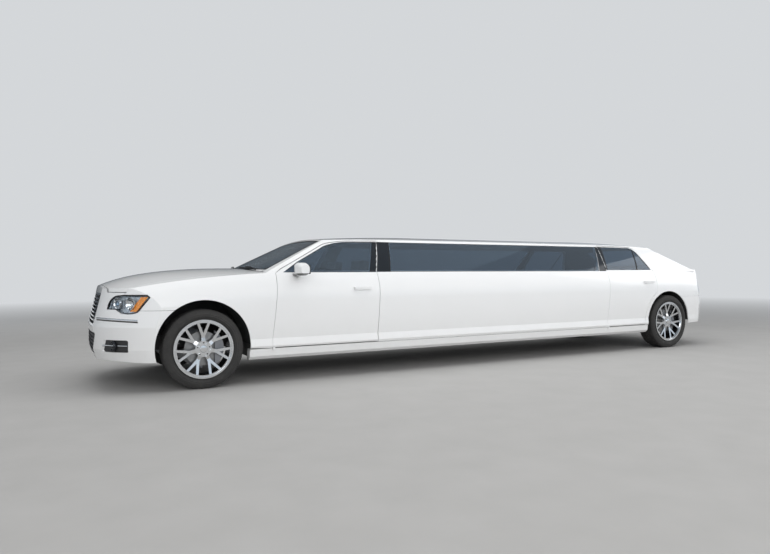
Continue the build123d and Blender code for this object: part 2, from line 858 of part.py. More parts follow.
def handle(front, height):
    """A pull handle on the left side: a bowed bar with a finger gap behind it."""
    with BuildPart() as grip:
        with BuildSketch(Plane.XY.offset(height - handle_depth / 2)):
            with BuildLine():
                Polyline((front, handle_root), (front - handle_end, handle_reach))
                ThreePointArc(
                    (front - handle_end, handle_reach),
                    (front - handle_length / 2, handle_reach + 4),
                    (front - handle_length + handle_end, handle_reach),
                )
                Polyline(
                    (front - handle_length + handle_end, handle_reach), (front - handle_length, handle_root),
                    (front, handle_root),
                )
            make_face()
            with Locations((front - handle_length / 2, handle_root)):
                Rectangle(handle_length - 76, 2 * (handle_reach - 12 - handle_root), mode=Mode.SUBTRACT)
        extrude(amount=handle_depth)
    return grip.part


with BuildPart() as side_wall:
    add(flank_form.part)
    add(block((rear_axle, side_wall_inner, 300), (front_axle, 1000, belt_height)), mode=Mode.INTERSECT)
with BuildPart() as window_wall:
    add(cabin_shell.part)
    add(block((rear_axle, frame_side, frame_foot), (front_axle, 1000, 1500)), mode=Mode.INTERSECT)


def door_panel(cut, glass_hole, seat, edge, grip_front, grip_height):
    """A left door in its window frame, with its handle and the pin that it turns on."""
    with BuildPart() as lower:
        add(side_wall.part)
        add(cut, mode=Mode.INTERSECT)
    with BuildPart() as frame:
        add(window_wall.part)
        add(cut, mode=Mode.INTERSECT)
        add(glass_hole, mode=Mode.SUBTRACT)
        add(seat, mode=Mode.SUBTRACT)
    with BuildPart() as door:
        add(lower.part)
        add(frame.part)
        add(handle(grip_front, grip_height))
        with Locations((edge - hinge_setback - 6, hinge_side, door_bottom)):
            Cylinder(hinge_pin_radius, 2 * hinge_pin_reach)
    return door.part


front_door = door_panel(
    front_door_cut, front_glass_hole, glass_seat(front_glass_seat), front_door_edge, front_axle - 1500, 898
)
rear_door = door_panel(
    rear_door_cut, rear_glass_hole, glass_seat(rear_glass_seat), rear_door_edge, front_axle - 5842, 918
)
left_half = block((-5000, frame_side + 4, 0), (5000, 1000, 1600))
front_pane = pane(front_glass_blank & left_half)
rear_pane = pane(rear_glass_blank & left_half)
for side, way in (("left", 1), ("right", -1)):
    for end, door, glass in (("front", front_door, front_pane), ("rear", rear_door, rear_pane)):
        name = "door_" + end + "_" + side
        save(door if way == 1 else door.mirror(Plane.XZ), name)
        save(glass if way == 1 else glass.mirror(Plane.XZ), name + "_glass")

# Stretched side panels, as thick as the whole side wall
stretch_front = front_axle - 1700
stretch_rear = front_axle - 5220
with BuildPart() as stretch_panel:
    add(side_wall.part)
    add(block(
        (stretch_rear, side_wall_inner, sill_top),
        (stretch_front, 1000, belt_height),
    ), mode=Mode.INTERSECT)
    add(front_door_room, mode=Mode.SUBTRACT)
    add(rear_door_room, mode=Mode.SUBTRACT)
save(both_sides(stretch_panel.part), "stretch_panels")

# Sills from arch to arch, with the foot that each door pin turns in
sill_front = front_axle - front_arch + 8
sill_rear = rear_axle + rear_arch_shift + rear_arch
with BuildPart() as sill:
    with BuildSketch(Plane.YZ.offset(sill_rear)):
        with BuildLine():
            Polyline(
                (side_wall_inner, sill_bottom),
                (885, sill_bottom),
                (915, sill_bottom + 30),
                (922, sill_top - 6),
                (918, sill_top),
                (side_wall_inner, sill_top),
                close=True,
            )
        make_face()
    extrude(amount=sill_front - sill_rear)
    for edge in (front_door_edge, rear_door_edge):
        with BuildSketch(Plane.XY.offset(sill_top - 16)):
            with Locations((edge - hinge_setback - 6, hinge_side - 10)):
                RectangleRounded(24, 40, 8)
        extrude(amount=16 + door_bottom - sill_top - pin_clearance)
    add(wheel_hole(front_arch_centre, front_arch, 600, 1000), mode=Mode.SUBTRACT)
    add(wheel_hole(rear_arch_centre, rear_arch, 600, 1000), mode=Mode.SUBTRACT)
    for edge in (front_door_edge, rear_door_edge):
        with Locations((edge - hinge_setback - 6, hinge_side, door_bottom)):
            Cylinder(hinge_pin_radius + pin_clearance, 2 * hinge_pin_reach + 2, mode=Mode.SUBTRACT)
save(both_sides(sill.part), "sills")

# Roof with its pillars
with BuildPart() as body_tops:
    add(front_form)
    add(rear_form)
    add(above_belt, mode=Mode.INTERSECT)
front_door_rooms = both_sides(front_door_room)
rear_door_rooms = both_sides(rear_door_room)
hood_corner_room = block(
    (front_axle - 610, 700, belt_height - 10), (front_axle - 500, fender_inner - 3, belt_height + 60)
)
with BuildPart() as fixed_seats:
    add(stretch_glass_blank)
    add(windshield_blank)
    add(rear_window_blank)
    add(pillar_cover_seat.part)
with BuildPart() as roof:
    add(cabin_shell.part)
    add(block((rear_axle - 900, -1000, belt_height), (front_axle, 1000, roof_above)), mode=Mode.INTERSECT)
    add(body_tops.part, mode=Mode.SUBTRACT)
    add(front_door_rooms, mode=Mode.SUBTRACT)
    add(rear_door_rooms, mode=Mode.SUBTRACT)
    add(stretch_glass_hole, mode=Mode.SUBTRACT)
    add(windshield_prism(0), mode=Mode.SUBTRACT)
    add(rear_window_prism(0), mode=Mode.SUBTRACT)
    add(glass_seat(fixed_seats.part), mode=Mode.SUBTRACT)
    add(both_sides(hood_corner_room), mode=Mode.SUBTRACT)
save(roof.part, "roof")

# Fixed glass and the dark covers of the pillars
save(pane(windshield_blank), "windshield")
save(pane(rear_window_blank), "rear_window")
save(pane(stretch_glass_blank), "stretch_windows")
with BuildPart() as pillar_covers:
    add(pane(pillar_cover_blank.part))
    add(front_door_rooms, mode=Mode.SUBTRACT)
    add(rear_door_rooms, mode=Mode.SUBTRACT)
save(pillar_covers.part, "pillar_covers")

# Rear quarters with the deck, the trunk lid, tail lamps and rear bumper
quarter_front = rear_axle + 520
shelf_front = rear_axle + 60
with BuildPart() as quarter_zone:
    add(block((tail_end, -1000, sill_top), (quarter_front, 1000, roof_above)))
    add(block((shelf_front, -820, 900), (quarter_front + 10, 820, roof_above)), mode=Mode.SUBTRACT)
    add(block((tail_end, -1001, 300), (rear_axle, 1001, rear_bumper_seam)), mode=Mode.SUBTRACT)
with BuildPart() as rear_quarters:
    add(rear_skin.part)
    add(quarter_zone.part, mode=Mode.INTERSECT)
    add(rear_door_rooms, mode=Mode.SUBTRACT)
    add(rear_arch_cut, mode=Mode.SUBTRACT)
    add(lid_room.part, mode=Mode.SUBTRACT)
    add(both_sides(tail_lamp_room), mode=Mode.SUBTRACT)
    with Locations(
        (lid_hinge[0] + 14 - 20, lid_hinge[2], lid_hinge[1]),
        (lid_hinge[0] + 14 - 20, -lid_hinge[2], lid_hinge[1]),
    ):
        Box(40, hinge_slot, 60, mode=Mode.SUBTRACT)
    add(both_sides(hinge_lugs(lid_hinge)))
save(rear_quarters.part, "rear_quarters")
with BuildPart() as trunk_lid:
    add(rear_form)
    add(lid_inside, mode=Mode.SUBTRACT)
    add(lid_cut.part, mode=Mode.INTERSECT)
    add(both_sides(hinge_ear(lid_hinge, -24)))
save(trunk_lid.part, "trunk_lid")
bumper_lip = 12
lip_front = rear_axle + rear_arch_shift - 300
with BuildPart() as rear_bumper_lip:
    add(rear_flange_band.part)
    add(
        block(
            (tail_end, -1000, rear_bumper_seam - 2 * bumper_lip),
            (lip_front, 1000, rear_bumper_seam + bumper_lip),
        ),
        mode=Mode.INTERSECT,
    )
    add(lid_room.part, mode=Mode.SUBTRACT)
with BuildPart() as rear_bumper:
    add(rear_skin.part)
    add(block((tail_end, -1000, 300), (rear_axle, 1000, rear_bumper_seam - seam)), mode=Mode.INTERSECT)
    add(rear_bumper_lip.part)
    add(rear_arch_cut, mode=Mode.SUBTRACT)
save(rear_bumper.part, "rear_bumper")
with BuildPart() as tail_lamp_flange:
    add(rear_flange_band.part)
    add(tail_lamp_block(lamp_flange), mode=Mode.INTERSECT)
    add(lid_room.part, mode=Mode.SUBTRACT)
with BuildPart() as tail_lamp:
    add(rear_form)
    add(rear_hull(lamp_depth), mode=Mode.SUBTRACT)
    add(tail_lamp_cut, mode=Mode.INTERSECT)
    add(tail_lamp_flange.part)
save(both_sides(tail_lamp.part), "tail_lamps")

# Floor pan, front rails, bulkhead and trunk floor
floor_low = 240
floor_high = 262
rail_inner = 370
rail_outer = 450
rail_low = 345
rail_high = 465
bulkhead_back = front_axle - 500
bulkhead_front = front_axle - 470
trunk_floor = 420
rear_floor_edge = rear_axle + 560
with BuildPart() as underbody:
    add(block((rear_floor_edge, -side_wall_inner, floor_low), (bulkhead_front, side_wall_inner, floor_high)))
    add(block((bulkhead_back, -side_wall_inner, floor_low), (bulkhead_front, side_wall_inner, 1000)))
    for way in (1, -1):
        inner, outer = sorted((way * rail_inner, way * rail_outer))
        add(block((bulkhead_back, inner, rail_low), (front_axle + 780, outer, rail_high)))
    add(block((front_axle + 740, -rail_outer, rail_low), (front_axle + 790, rail_outer, rail_high)))
    add(block((rear_floor_edge, -620, floor_low), (rear_floor_edge + 30, 620, trunk_floor)))
    add(block((rear_axle - 900, -620, trunk_floor), (rear_floor_edge + 30, 620, trunk_floor + 22)))
save(underbody.part, "underbody")

# Wheel housings
liner_gap = 2
liner_wall = 10


def wheel_liner(centre, radius, inner, inside):
    """Half a drum over the left wheel, out to the inner face of the panel round it."""
    with BuildPart() as liner:
        with BuildSketch(Plane.XZ.offset(-inner)):
            with Locations(centre):
                Circle(radius + liner_gap + liner_wall)
                Circle(radius + liner_gap, mode=Mode.SUBTRACT)
                with Locations((0, -500)):
                    Rectangle(1400, 1000, mode=Mode.SUBTRACT)
        extrude(amount=inner - 1000)
        add(inside, mode=Mode.INTERSECT)
    return liner.part


with BuildPart() as wheel_liners:
    add(wheel_liner(front_arch_centre, front_arch, 492, front_inside))
    add(wheel_liner(rear_arch_centre, rear_arch, 648, rear_inside))
    mirror(about=Plane.XZ)
save(wheel_liners.part, "wheel_liners")

# Engine and radiator as plain blocks
engine_half = 290
with BuildPart() as engine:
    with BuildSketch(Plane.YZ.offset(front_axle - 420)):
        with BuildLine():
            Polyline(
                (-engine_half, 560), (-engine_half + 60, 860), (engine_half - 60, 860), (engine_half, 560),
                (170, 300), (-170, 300), close=True,
            )
        make_face()
    extrude(amount=880)
    add(block((front_axle + 180, -rail_inner, 380), (front_axle + 270, rail_inner, 430)))
save(engine.part, "engine_block")
save(block((front_axle + 640, -rail_inner, 360), (front_axle + 690, rail_inner, 850)), "radiator")

# Dashboard, steering wheel and seats
with BuildPart() as dashboard:
    with BuildSketch(Plane.XZ.offset(-760)):
        with BuildLine():
            Polyline(
                (bulkhead_back, 780), (bulkhead_back, 985), (front_axle - 760, 1010),
                (front_axle - 940, 975), (front_axle - 960, 860), (front_axle - 860, 700),
                close=True,
            )
        make_face()
    extrude(amount=1520)
save(dashboard.part, "dashboard")
wheel_plane = Plane(origin=(front_axle - 1075, 370, 905), x_dir=(0, 1, 0), z_dir=(-0.9, 0, 0.43))
with BuildPart() as steering_wheel:
    with BuildSketch(Plane(origin=wheel_plane.origin, x_dir=wheel_plane.z_dir, z_dir=wheel_plane.y_dir)):
        with Locations((0, -178)):
            Circle(14)
    revolve(axis=Axis(wheel_plane.origin, wheel_plane.z_dir))
    with BuildSketch(wheel_plane):
        Circle(46)
        for angle in (0, 90, 180):
            with Locations(Location((0, 0, 0), (0, 0, angle))):
                with Locations((0, -88)):
                    Rectangle(34, 170)
    extrude(amount=16, both=True)
    with BuildSketch(wheel_plane):
        Circle(24)
    extrude(amount=-160)
    add(dashboard.part, mode=Mode.SUBTRACT)
save(steering_wheel.part, "steering_wheel")

seat_cushion_low = floor_high
with BuildPart() as front_seats:
    for side in (370, -370):
        with BuildSketch(Plane.XZ.offset(-side - 250)):
            with BuildLine():
                Polyline(
                    (front_axle - 1230, seat_cushion_low), (front_axle - 1180, 520),
                    (front_axle - 1600, 470), (front_axle - 1790, 1010), (front_axle - 1800, 1190),
                    (front_axle - 1890, 1190), (front_axle - 1880, 980), (front_axle - 1740, seat_cushion_low),
                    close=True,
                )
            make_face()
        extrude(amount=500)
save(front_seats.part, "front_seats")

saloon_front = front_axle - 2060
with BuildPart() as partition:
    add(block((saloon_front - 30, -side_wall_inner, floor_high), (saloon_front, side_wall_inner, 1050)))
save(partition.part, "partition")

# Saloon bench along the right wall and across the rear
bench_height = 520
bench_depth = 520
bench_side = side_wall_inner - 16
with BuildPart() as lounge:
    add(block(
        (rear_axle + 640, -bench_side, floor_high),
        (saloon_front - 700, 300 - side_wall_inner, 500),
    ))
    with BuildSketch(Plane.XZ.offset(-600)):
        with BuildLine():
            Polyline(
                (rear_axle + 1150, floor_high), (rear_axle + 1180, 540), (rear_axle + 720, 480),
                (rear_axle + 430, 1080), (rear_axle + 300, 1080), (rear_axle + 300, trunk_floor + 22),
                (rear_axle + 620, trunk_floor + 22), (rear_axle + 620, floor_high), close=True,
            )
        make_face()
    extrude(amount=1200)
save(lounge.part, "lounge_seats")

# Wheels. Every sub-part is drawn for the left side, centred on its axle, then placed and mirrored.
barrel_wall = 12
spoke_count = 7
wheel_face = 98
spoke_back = wheel_face - 34
lug_count = 5
lug_circle = 57
lug_radius = 13
lug_depth = 14
cap_radius = 33
with BuildPart() as tyre:
    half = tyre_width / 2
    bead = rim_width / 2 - 15
    with BuildSketch(Plane.XY):
        with BuildLine():
            Polyline(
                (-bead, rim_radius), (-bead, rim_radius + 11), (-half + 3, rim_radius + 40),
                (-half + 8, tyre_radius - 26), (-half + 30, tyre_radius), (half - 30, tyre_radius),
                (half - 8, tyre_radius - 26), (half - 3, rim_radius + 40), (bead, rim_radius + 11),
                (bead, rim_radius), close=True,
            )
        make_face()
    revolve(axis=Axis.X)
tyre_part = tyre.part.rotate(Axis.Z, 90)

with BuildPart() as spoke_band:
    with BuildSketch(Plane.XY):
        with BuildLine():
            Polyline(
                (spoke_back, 0), (wheel_face - 10, 0), (wheel_face - 10, hub_radius),
                (wheel_face - 20, hub_radius + 30), (wheel_face - 4, rim_radius - 4),
                (spoke_back + 4, rim_radius - 4), (spoke_back - 6, hub_radius + 30), (spoke_back, hub_radius),
                close=True,
            )
        make_face()
    revolve(axis=Axis.X)
with BuildSketch() as fork:
    with BuildLine():
        Polyline(
            (-20, 40), (-16, 118), (-68, 258), (-44, 258), (0, 146),
            (44, 258), (68, 258), (16, 118), (20, 40), close=True,
        )
    make_face()
with BuildPart() as spokes:
    with BuildSketch(Plane.YZ):
        with PolarLocations(0, spoke_count):
            add(fork.sketch)
        Circle(hub_radius)
    extrude(amount=2 * wheel_face)
    add(spoke_band.part, mode=Mode.INTERSECT)
    with BuildSketch(Plane.YZ.offset(wheel_face - 10)):
        with PolarLocations(lug_circle, lug_count):
            Circle(lug_radius)
    extrude(amount=-lug_depth, mode=Mode.SUBTRACT)
    with BuildSketch(Plane.YZ.offset(wheel_face - 10)):
        Circle(cap_radius)
    extrude(amount=4)
    with BuildSketch(Plane.YZ.offset(spoke_back)):
        Circle(spindle_radius + 12)
    extrude(amount=wheel_face - 18 - spoke_back, mode=Mode.SUBTRACT)

# The barrel has a drop centre, a flange on each side and a stepped lip on its outer side.
with BuildPart() as rim:
    half = rim_width / 2
    seat = rim_radius - 0.3
    with BuildSketch(Plane.XY):
        with BuildLine():
            Polyline(
                (-half, rim_radius + 8), (-half, rim_radius - barrel_wall),
                (half - 24, rim_radius - barrel_wall),
                (half - 24, rim_radius - 22), (half - 12, rim_radius - 22), (half - 12, rim_radius - 8),
                (half, rim_radius - 8), (half, rim_radius + 8), (half - 12, rim_radius + 8), (half - 14, seat),
                (-half + 14, seat), (-half + 12, rim_radius + 8), close=True,
            )
        make_face()
    revolve(axis=Axis.X)
    add(spokes.part)
rim_part = rim.part.rotate(Axis.Z, 90)

with BuildPart() as disc:
    with BuildSketch(Plane.XY):
        with BuildLine():
            Polyline(
                (-6, spindle_radius + pin_clearance), (-6, disc_radius), (-6 + disc_thickness, disc_radius),
                (-6 + disc_thickness, hub_radius), (spoke_back, hub_radius),
                (spoke_back, spindle_radius + pin_clearance), close=True,
            )
        make_face()
    revolve(axis=Axis.X)
disc_part = disc.part.rotate(Axis.Z, 90)

for end, axle, track in (("front", front_axle, front_track), ("rear", rear_axle, rear_track)):
    place = Location((axle, track / 2, tyre_radius))
    for name, part in (("tyre", tyre_part), ("rim", rim_part), ("disc", disc_part)):
        left = part.moved(place)
        save(left, name + "_" + end + "_left")
        save(left.mirror(Plane.XZ), name + "_" + end + "_right")

# Steering knuckles with kingpin ends, spindle and brake caliper
knuckle_low = lower_joint_height + 17
knuckle_high = upper_joint_height - 17
spindle_in = kingpin_side - 20
spindle_out = front_track / 2 + wheel_face - 40


def caliper(axle, track):
    """A brake caliper astride the disc, behind the axle."""
    with BuildPart() as body:
        with BuildSketch(Plane.XZ.offset(-(track / 2 - 26))):
            with Locations((axle, tyre_radius)):
                Circle(disc_radius + 34)
                Circle(108, mode=Mode.SUBTRACT)
                with Locations((200, 0)):
                    Rectangle(620, 600, mode=Mode.SUBTRACT)
        extrude(amount=-70)
        with BuildSketch(Plane.XZ.offset(-(track / 2 - 12))):
            with Locations((axle, tyre_radius)):
                Circle(disc_radius + 6)
        extrude(amount=-(disc_thickness + 12), mode=Mode.SUBTRACT)
    return body.part


with BuildPart() as knuckle:
    add(block(
        (front_axle - 24, kingpin_side - 22, knuckle_low),
        (front_axle + 24, kingpin_side + 22, knuckle_high),
    ))
    for low, high in ((knuckle_low - 30, knuckle_low), (knuckle_high, knuckle_high + 30)):
        with BuildSketch(Plane.XY.offset(low)):
            with Locations((front_axle, kingpin_side)):
                Circle(kingpin_radius)
        extrude(amount=high - low)
    with BuildSketch(Plane.XZ.offset(-spindle_in)):
        with Locations((front_axle, tyre_radius)):
            Circle(spindle_radius)
    extrude(amount=-(spindle_out - spindle_in))
    add(block(
        (front_axle - 165, kingpin_side - 20, tyre_radius - 40),
        (front_axle, kingpin_side + 24, tyre_radius + 40),
    ))
    add(caliper(front_axle, front_track))
save(knuckle.part, "knuckle_left")
save(knuckle.part.mirror(Plane.XZ), "knuckle_right")

# Front cross member with two arms on each side, each ending in an eye round a kingpin end
arm_half = 18
arm_height = 22
eye_radius = 24
tower_low = rail_low
with BuildPart() as front_suspension:
    for level in (lower_joint_height, upper_joint_height):
        with BuildSketch(Plane.XY.offset(level - arm_height / 2)):
            with Locations((front_axle, (rail_inner + kingpin_side) / 2)):
                Rectangle(2 * arm_half, kingpin_side - rail_inner)
            with Locations((front_axle, kingpin_side)):
                Circle(eye_radius)
                Circle(kingpin_radius + pin_clearance, mode=Mode.SUBTRACT)
        extrude(amount=arm_height)
    add(block((front_axle - 45, rail_inner, lower_joint_height - 20), (front_axle + 45, rail_outer, rail_low)))
    add(block(
        (front_axle - 45, rail_inner, rail_high),
        (front_axle + 45, rail_outer, upper_joint_height + 40),
    ))
    mirror(about=Plane.XZ)
    add(block(
        (front_axle - 45, -rail_inner, lower_joint_height - 20),
        (front_axle + 45, rail_inner, lower_joint_height + 50),
    ))
save(front_suspension.part, "front_suspension")

# Rear axle carrier with spindles and calipers
carrier_half = 620
with BuildPart() as rear_suspension:
    add(block((rear_axle - 60, 0, tyre_radius - 50), (rear_axle + 60, carrier_half, tyre_radius + 40)))
    add(block(
        (rear_axle - 165, carrier_half - 40, tyre_radius - 45),
        (rear_axle + 45, carrier_half + 168, tyre_radius + 45),
    ))
    add(block((rear_axle - 50, 380, tyre_radius), (rear_axle + 50, 470, trunk_floor)))
    with BuildSketch(Plane.XZ.offset(-carrier_half)):
        with Locations((rear_axle, tyre_radius)):
            Circle(spindle_radius)
    extrude(amount=-(rear_track / 2 + wheel_face - 40 - carrier_half))
    add(caliper(rear_axle, rear_track))
    mirror(about=Plane.XZ)
save(rear_suspension.part, "rear_suspension")

# Exhaust along the floor and under the axle, to a silencer hung from the trunk floor with two tail pipes
exhaust_radius = 30
exhaust_height = floor_low - exhaust_radius
silencer_front = rear_axle - 440
silencer_rear = rear_axle - 800
silencer_half = 260
tail_pipe_side = 200
with BuildPart() as exhaust:
    with BuildSketch(Plane.YZ.offset(silencer_rear + 60)):
        with Locations((120, exhaust_height)):
            Circle(exhaust_radius)
    extrude(amount=front_axle - 700 - silencer_rear - 60)
    with BuildSketch(Plane.YZ.offset(silencer_rear)):
        with Locations((0, exhaust_height + 50)):
            RectangleRounded(2 * silencer_half, 150, 50)
    extrude(amount=silencer_front - silencer_rear)
    with BuildSketch(Plane.YZ.offset(rear_axle - rear_overhang + 60)):
        with Locations((tail_pipe_side, exhaust_height + 70), (-tail_pipe_side, exhaust_height + 70)):
            Circle(exhaust_radius)
    extrude(amount=silencer_rear + 20 - (rear_axle - rear_overhang + 60))
    for way in (1, -1):
        low, high = sorted((way * 180, way * 210))
        add(block((silencer_rear + 160, low, exhaust_height + 100), (silencer_rear + 190, high, trunk_floor)))
save(exhaust.part, "exhaust")

# Black grille below the bumper's chrome one, with the two fog lamp inserts
insert_margin = 10
with BuildPart() as intake_insert:
    add(front_flange_band.part)
    add(slab(lambda: intake_outline(insert_margin), nose_plane, 240), mode=Mode.INTERSECT)
with BuildPart() as fog_insert:
    add(front_flange_band.part)
    add(slab(lambda: fog_outline(insert_margin), fog_plane, 240), mode=Mode.INTERSECT)
with BuildPart() as intake_grille:
    add(intake_insert.part)
    add(both_sides(fog_insert.part))
save(intake_grille.part, "intake_grille")

# Door mirrors on their feet
mirror_centre = (front_axle - 915, 1012, 1093)
with BuildPart() as mirror_housing:
    with BuildSketch(Plane.XZ.offset(-925)):
        with Locations((mirror_centre[0], mirror_centre[2])):
            RectangleRounded(96, 104, 26)
    with BuildSketch(Plane.XZ.offset(-1010)):
        with Locations((mirror_centre[0], mirror_centre[2])):
            RectangleRounded(124, 128, 40)
    with BuildSketch(Plane.XZ.offset(-1080)):
        with Locations((mirror_centre[0] - 12, mirror_centre[2] - 4)):
            RectangleRounded(84, 92, 34)
    loft()
    with BuildSketch(Plane.XY.offset(1034)):
        with Locations((mirror_centre[0] + 16, 905)):
            Rectangle(60, 90)
    extrude(amount=18)
    add(front_door, mode=Mode.SUBTRACT)
    add(front_pane, mode=Mode.SUBTRACT)
save(mirror_housing.part, "mirror_left")
save(mirror_housing.part.mirror(Plane.XZ), "mirror_right")
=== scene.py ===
# %% [markdown]
# # A white stretch limousine
# The solid parts come in as a fixed frame. This script gives each of them its finish, and adds what a
# plain solid can't show: tread, lamps, seals, seats and small fittings.

# %% Load the frame and keep its box
import json
import math

import bmesh
import bpy
from mathutils import Matrix, Vector
from mathutils.bvhtree import BVHTree


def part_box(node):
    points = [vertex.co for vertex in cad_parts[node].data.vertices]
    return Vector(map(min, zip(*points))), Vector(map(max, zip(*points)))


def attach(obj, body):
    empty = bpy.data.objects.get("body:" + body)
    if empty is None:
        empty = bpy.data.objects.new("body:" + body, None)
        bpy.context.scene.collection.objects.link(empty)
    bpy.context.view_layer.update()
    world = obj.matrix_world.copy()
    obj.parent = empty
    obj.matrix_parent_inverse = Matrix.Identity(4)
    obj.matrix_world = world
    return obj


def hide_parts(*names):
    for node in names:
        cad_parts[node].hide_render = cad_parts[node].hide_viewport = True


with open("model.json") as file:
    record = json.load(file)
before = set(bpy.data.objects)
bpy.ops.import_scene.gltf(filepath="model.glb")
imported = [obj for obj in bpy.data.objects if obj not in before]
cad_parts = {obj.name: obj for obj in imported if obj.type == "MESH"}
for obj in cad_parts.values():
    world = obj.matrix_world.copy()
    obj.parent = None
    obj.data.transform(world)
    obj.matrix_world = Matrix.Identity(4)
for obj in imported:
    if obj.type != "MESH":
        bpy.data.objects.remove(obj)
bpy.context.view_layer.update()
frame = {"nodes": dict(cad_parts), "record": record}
nodes = frame["nodes"]

# %% [markdown]
# The axles are the two places that most fittings are measured from, so they are named once, in metres.

# %% Axles and sides
FRONT_AXLE = 3.258
REAR_AXLE = -3.096
WHEEL_HEIGHT = 0.364
SIDES = (("left", 1), ("right", -1))
WHEELS = [("%s_%s" % (end, side), way, (axle, way * side_place, WHEEL_HEIGHT))
          for end, axle, side_place in (("front", FRONT_AXLE, 0.8055), ("rear", REAR_AXLE, 0.810))
          for side, way in SIDES]


def add_object(name, data):
    """A new object in the scene."""
    made = bpy.data.objects.new(name, data)
    bpy.context.scene.collection.objects.link(made)
    return made


# %% [markdown]
# ## Camera
# The picture was taken from the left, ahead of the front wheels and a metre above the ground. The place,
# turn and lens of the camera come from where the wheels, belt line and roof are in it.

# %% Camera
IMAGE_WIDTH = 770
FOCAL_PIXELS = 615.4
SENSOR_WIDTH = 36
CAMERA_PLACE = Vector((4.424, 6.661, 1.030))
YAW, PITCH, ROLL = (math.radians(a) for a in (27.89, -0.16, -0.35))
ahead = Vector((-math.sin(YAW), -math.cos(YAW), 0))
across = Vector((-math.cos(YAW), math.sin(YAW), 0))
upright = Vector((0, 0, 1))
ahead, upright = (
    ahead * math.cos(PITCH) + upright * math.sin(PITCH),
    upright * math.cos(PITCH) - ahead * math.sin(PITCH),
)
across, upright = (
    across * math.cos(ROLL) + upright * math.sin(ROLL),
    upright * math.cos(ROLL) - across * math.sin(ROLL),
)
camera = add_object("camera", bpy.data.cameras.new("camera"))
camera.data.sensor_width = SENSOR_WIDTH
camera.data.lens = SENSOR_WIDTH * FOCAL_PIXELS / IMAGE_WIDTH
camera.data.clip_end = 200
turn = Matrix((across, upright, -ahead)).transposed()
camera.matrix_world = Matrix.Translation(CAMERA_PLACE) @ turn.to_4x4()
bpy.context.scene.camera = camera
print("lens", round(camera.data.lens, 2), "mm")

# %% [markdown]
# ## Writing finishes as sums
# A long graph of nodes is hard to read as code. Here a small class wraps one socket of the graph, so that
# Python's own signs for sums add the Math nodes. Every other node comes from one method.

# %% Sockets that can be reckoned with
def sign(operation, turned=False, **settings):
    """A method that adds one Math node to a wire."""
    def method(self, other=0.0):
        first, second = (other, self) if turned else (self, other)
        return self.finish.node("ShaderNodeMath", {"operation": operation, **settings}, {0: first, 1: second})
    return method


class Wire:
    """One output of a node, which can stand in an expression."""

    def __init__(self, finish, socket):
        self.finish, self.socket = finish, socket

    __add__ = __radd__ = sign("ADD")
    __sub__, __rsub__ = sign("SUBTRACT"), sign("SUBTRACT", turned=True)
    __mul__, __truediv__ = sign("MULTIPLY"), sign("DIVIDE")
    sine, over, greater = sign("SINE"), sign("GREATER_THAN"), sign("MAXIMUM")
    clamped = sign("ADD", use_clamp=True)


class Finish:
    """A material, or the world, in the making."""

    def __init__(self, name, kind="materials"):
        self.owner = getattr(bpy.data, kind).new(name)
        self.owner.use_nodes = True
        self.tree = self.owner.node_tree
        self.tree.nodes.clear()
        self.places = None

    def node(self, kind, settings=None, inputs=None, output=0):
        """Any node: its settings go in first, then the values or wires of its sockets."""
        made = self.tree.nodes.new(kind)
        for key, value in (settings or {}).items():
            setattr(made, key, value)
        for key, value in (inputs or {}).items():
            socket = made.inputs[key]
            if isinstance(value, Wire):
                self.tree.links.new(value.socket, socket)
            else:
                socket.default_value = value
        return Wire(self, made.outputs[output]) if len(made.outputs) else made

    def place(self):
        """The point on the object, in metres."""
        if self.places is None:
            self.places = self.node("ShaderNodeTexCoord", output="Object")
        return self.places

    def axis(self, letter):
        return self.node("ShaderNodeSeparateXYZ", inputs={0: self.place()}, output=letter)

    def from_middle(self):
        """The distance from the object's origin."""
        return self.node("ShaderNodeVectorMath", {"operation": "LENGTH"}, {0: self.place()}, "Value")

    def noise(self, scale, detail=3.0, rough=0.5):
        return self.node(
            "ShaderNodeTexNoise", {"noise_dimensions": "3D"},
            {"Vector": self.place(), "Scale": scale, "Detail": detail, "Roughness": rough},
        )

    def cells(self, scale, feature="F1"):
        inputs = {"Vector": self.place(), "Scale": scale}
        return self.node("ShaderNodeTexVoronoi", {"feature": feature}, inputs, "Distance")

    def blend(self, share, low, high, **settings):
        """A colour between two others."""
        return self.node("ShaderNodeMix", {"data_type": "RGBA", **settings}, {0: share, 6: low, 7: high}, 2)

    def bump(self, height, strength, distance):
        inputs = {"Height": height, "Strength": strength, "Distance": distance}
        return self.node("ShaderNodeBump", inputs=inputs, output="Normal")

    def shader(self, **sockets):
        inputs = {key.replace("_", " "): value for key, value in sockets.items()}
        return self.node("ShaderNodeBsdfPrincipled", inputs=inputs)

    def done(self, surface, kind="ShaderNodeOutputMaterial"):
        self.node(kind, inputs={"Surface": surface})
        return self.owner


# %% [markdown]
# ## Stage
# The car is white, so it stands on a pale grey floor in front of a pale backdrop. A plainer, dimmer world
# and five soft lamps light it. The world that mirrors and glass show is darker on the car's far side, as
# a hedge is in the photo, and this keeps the windshield from turning white.

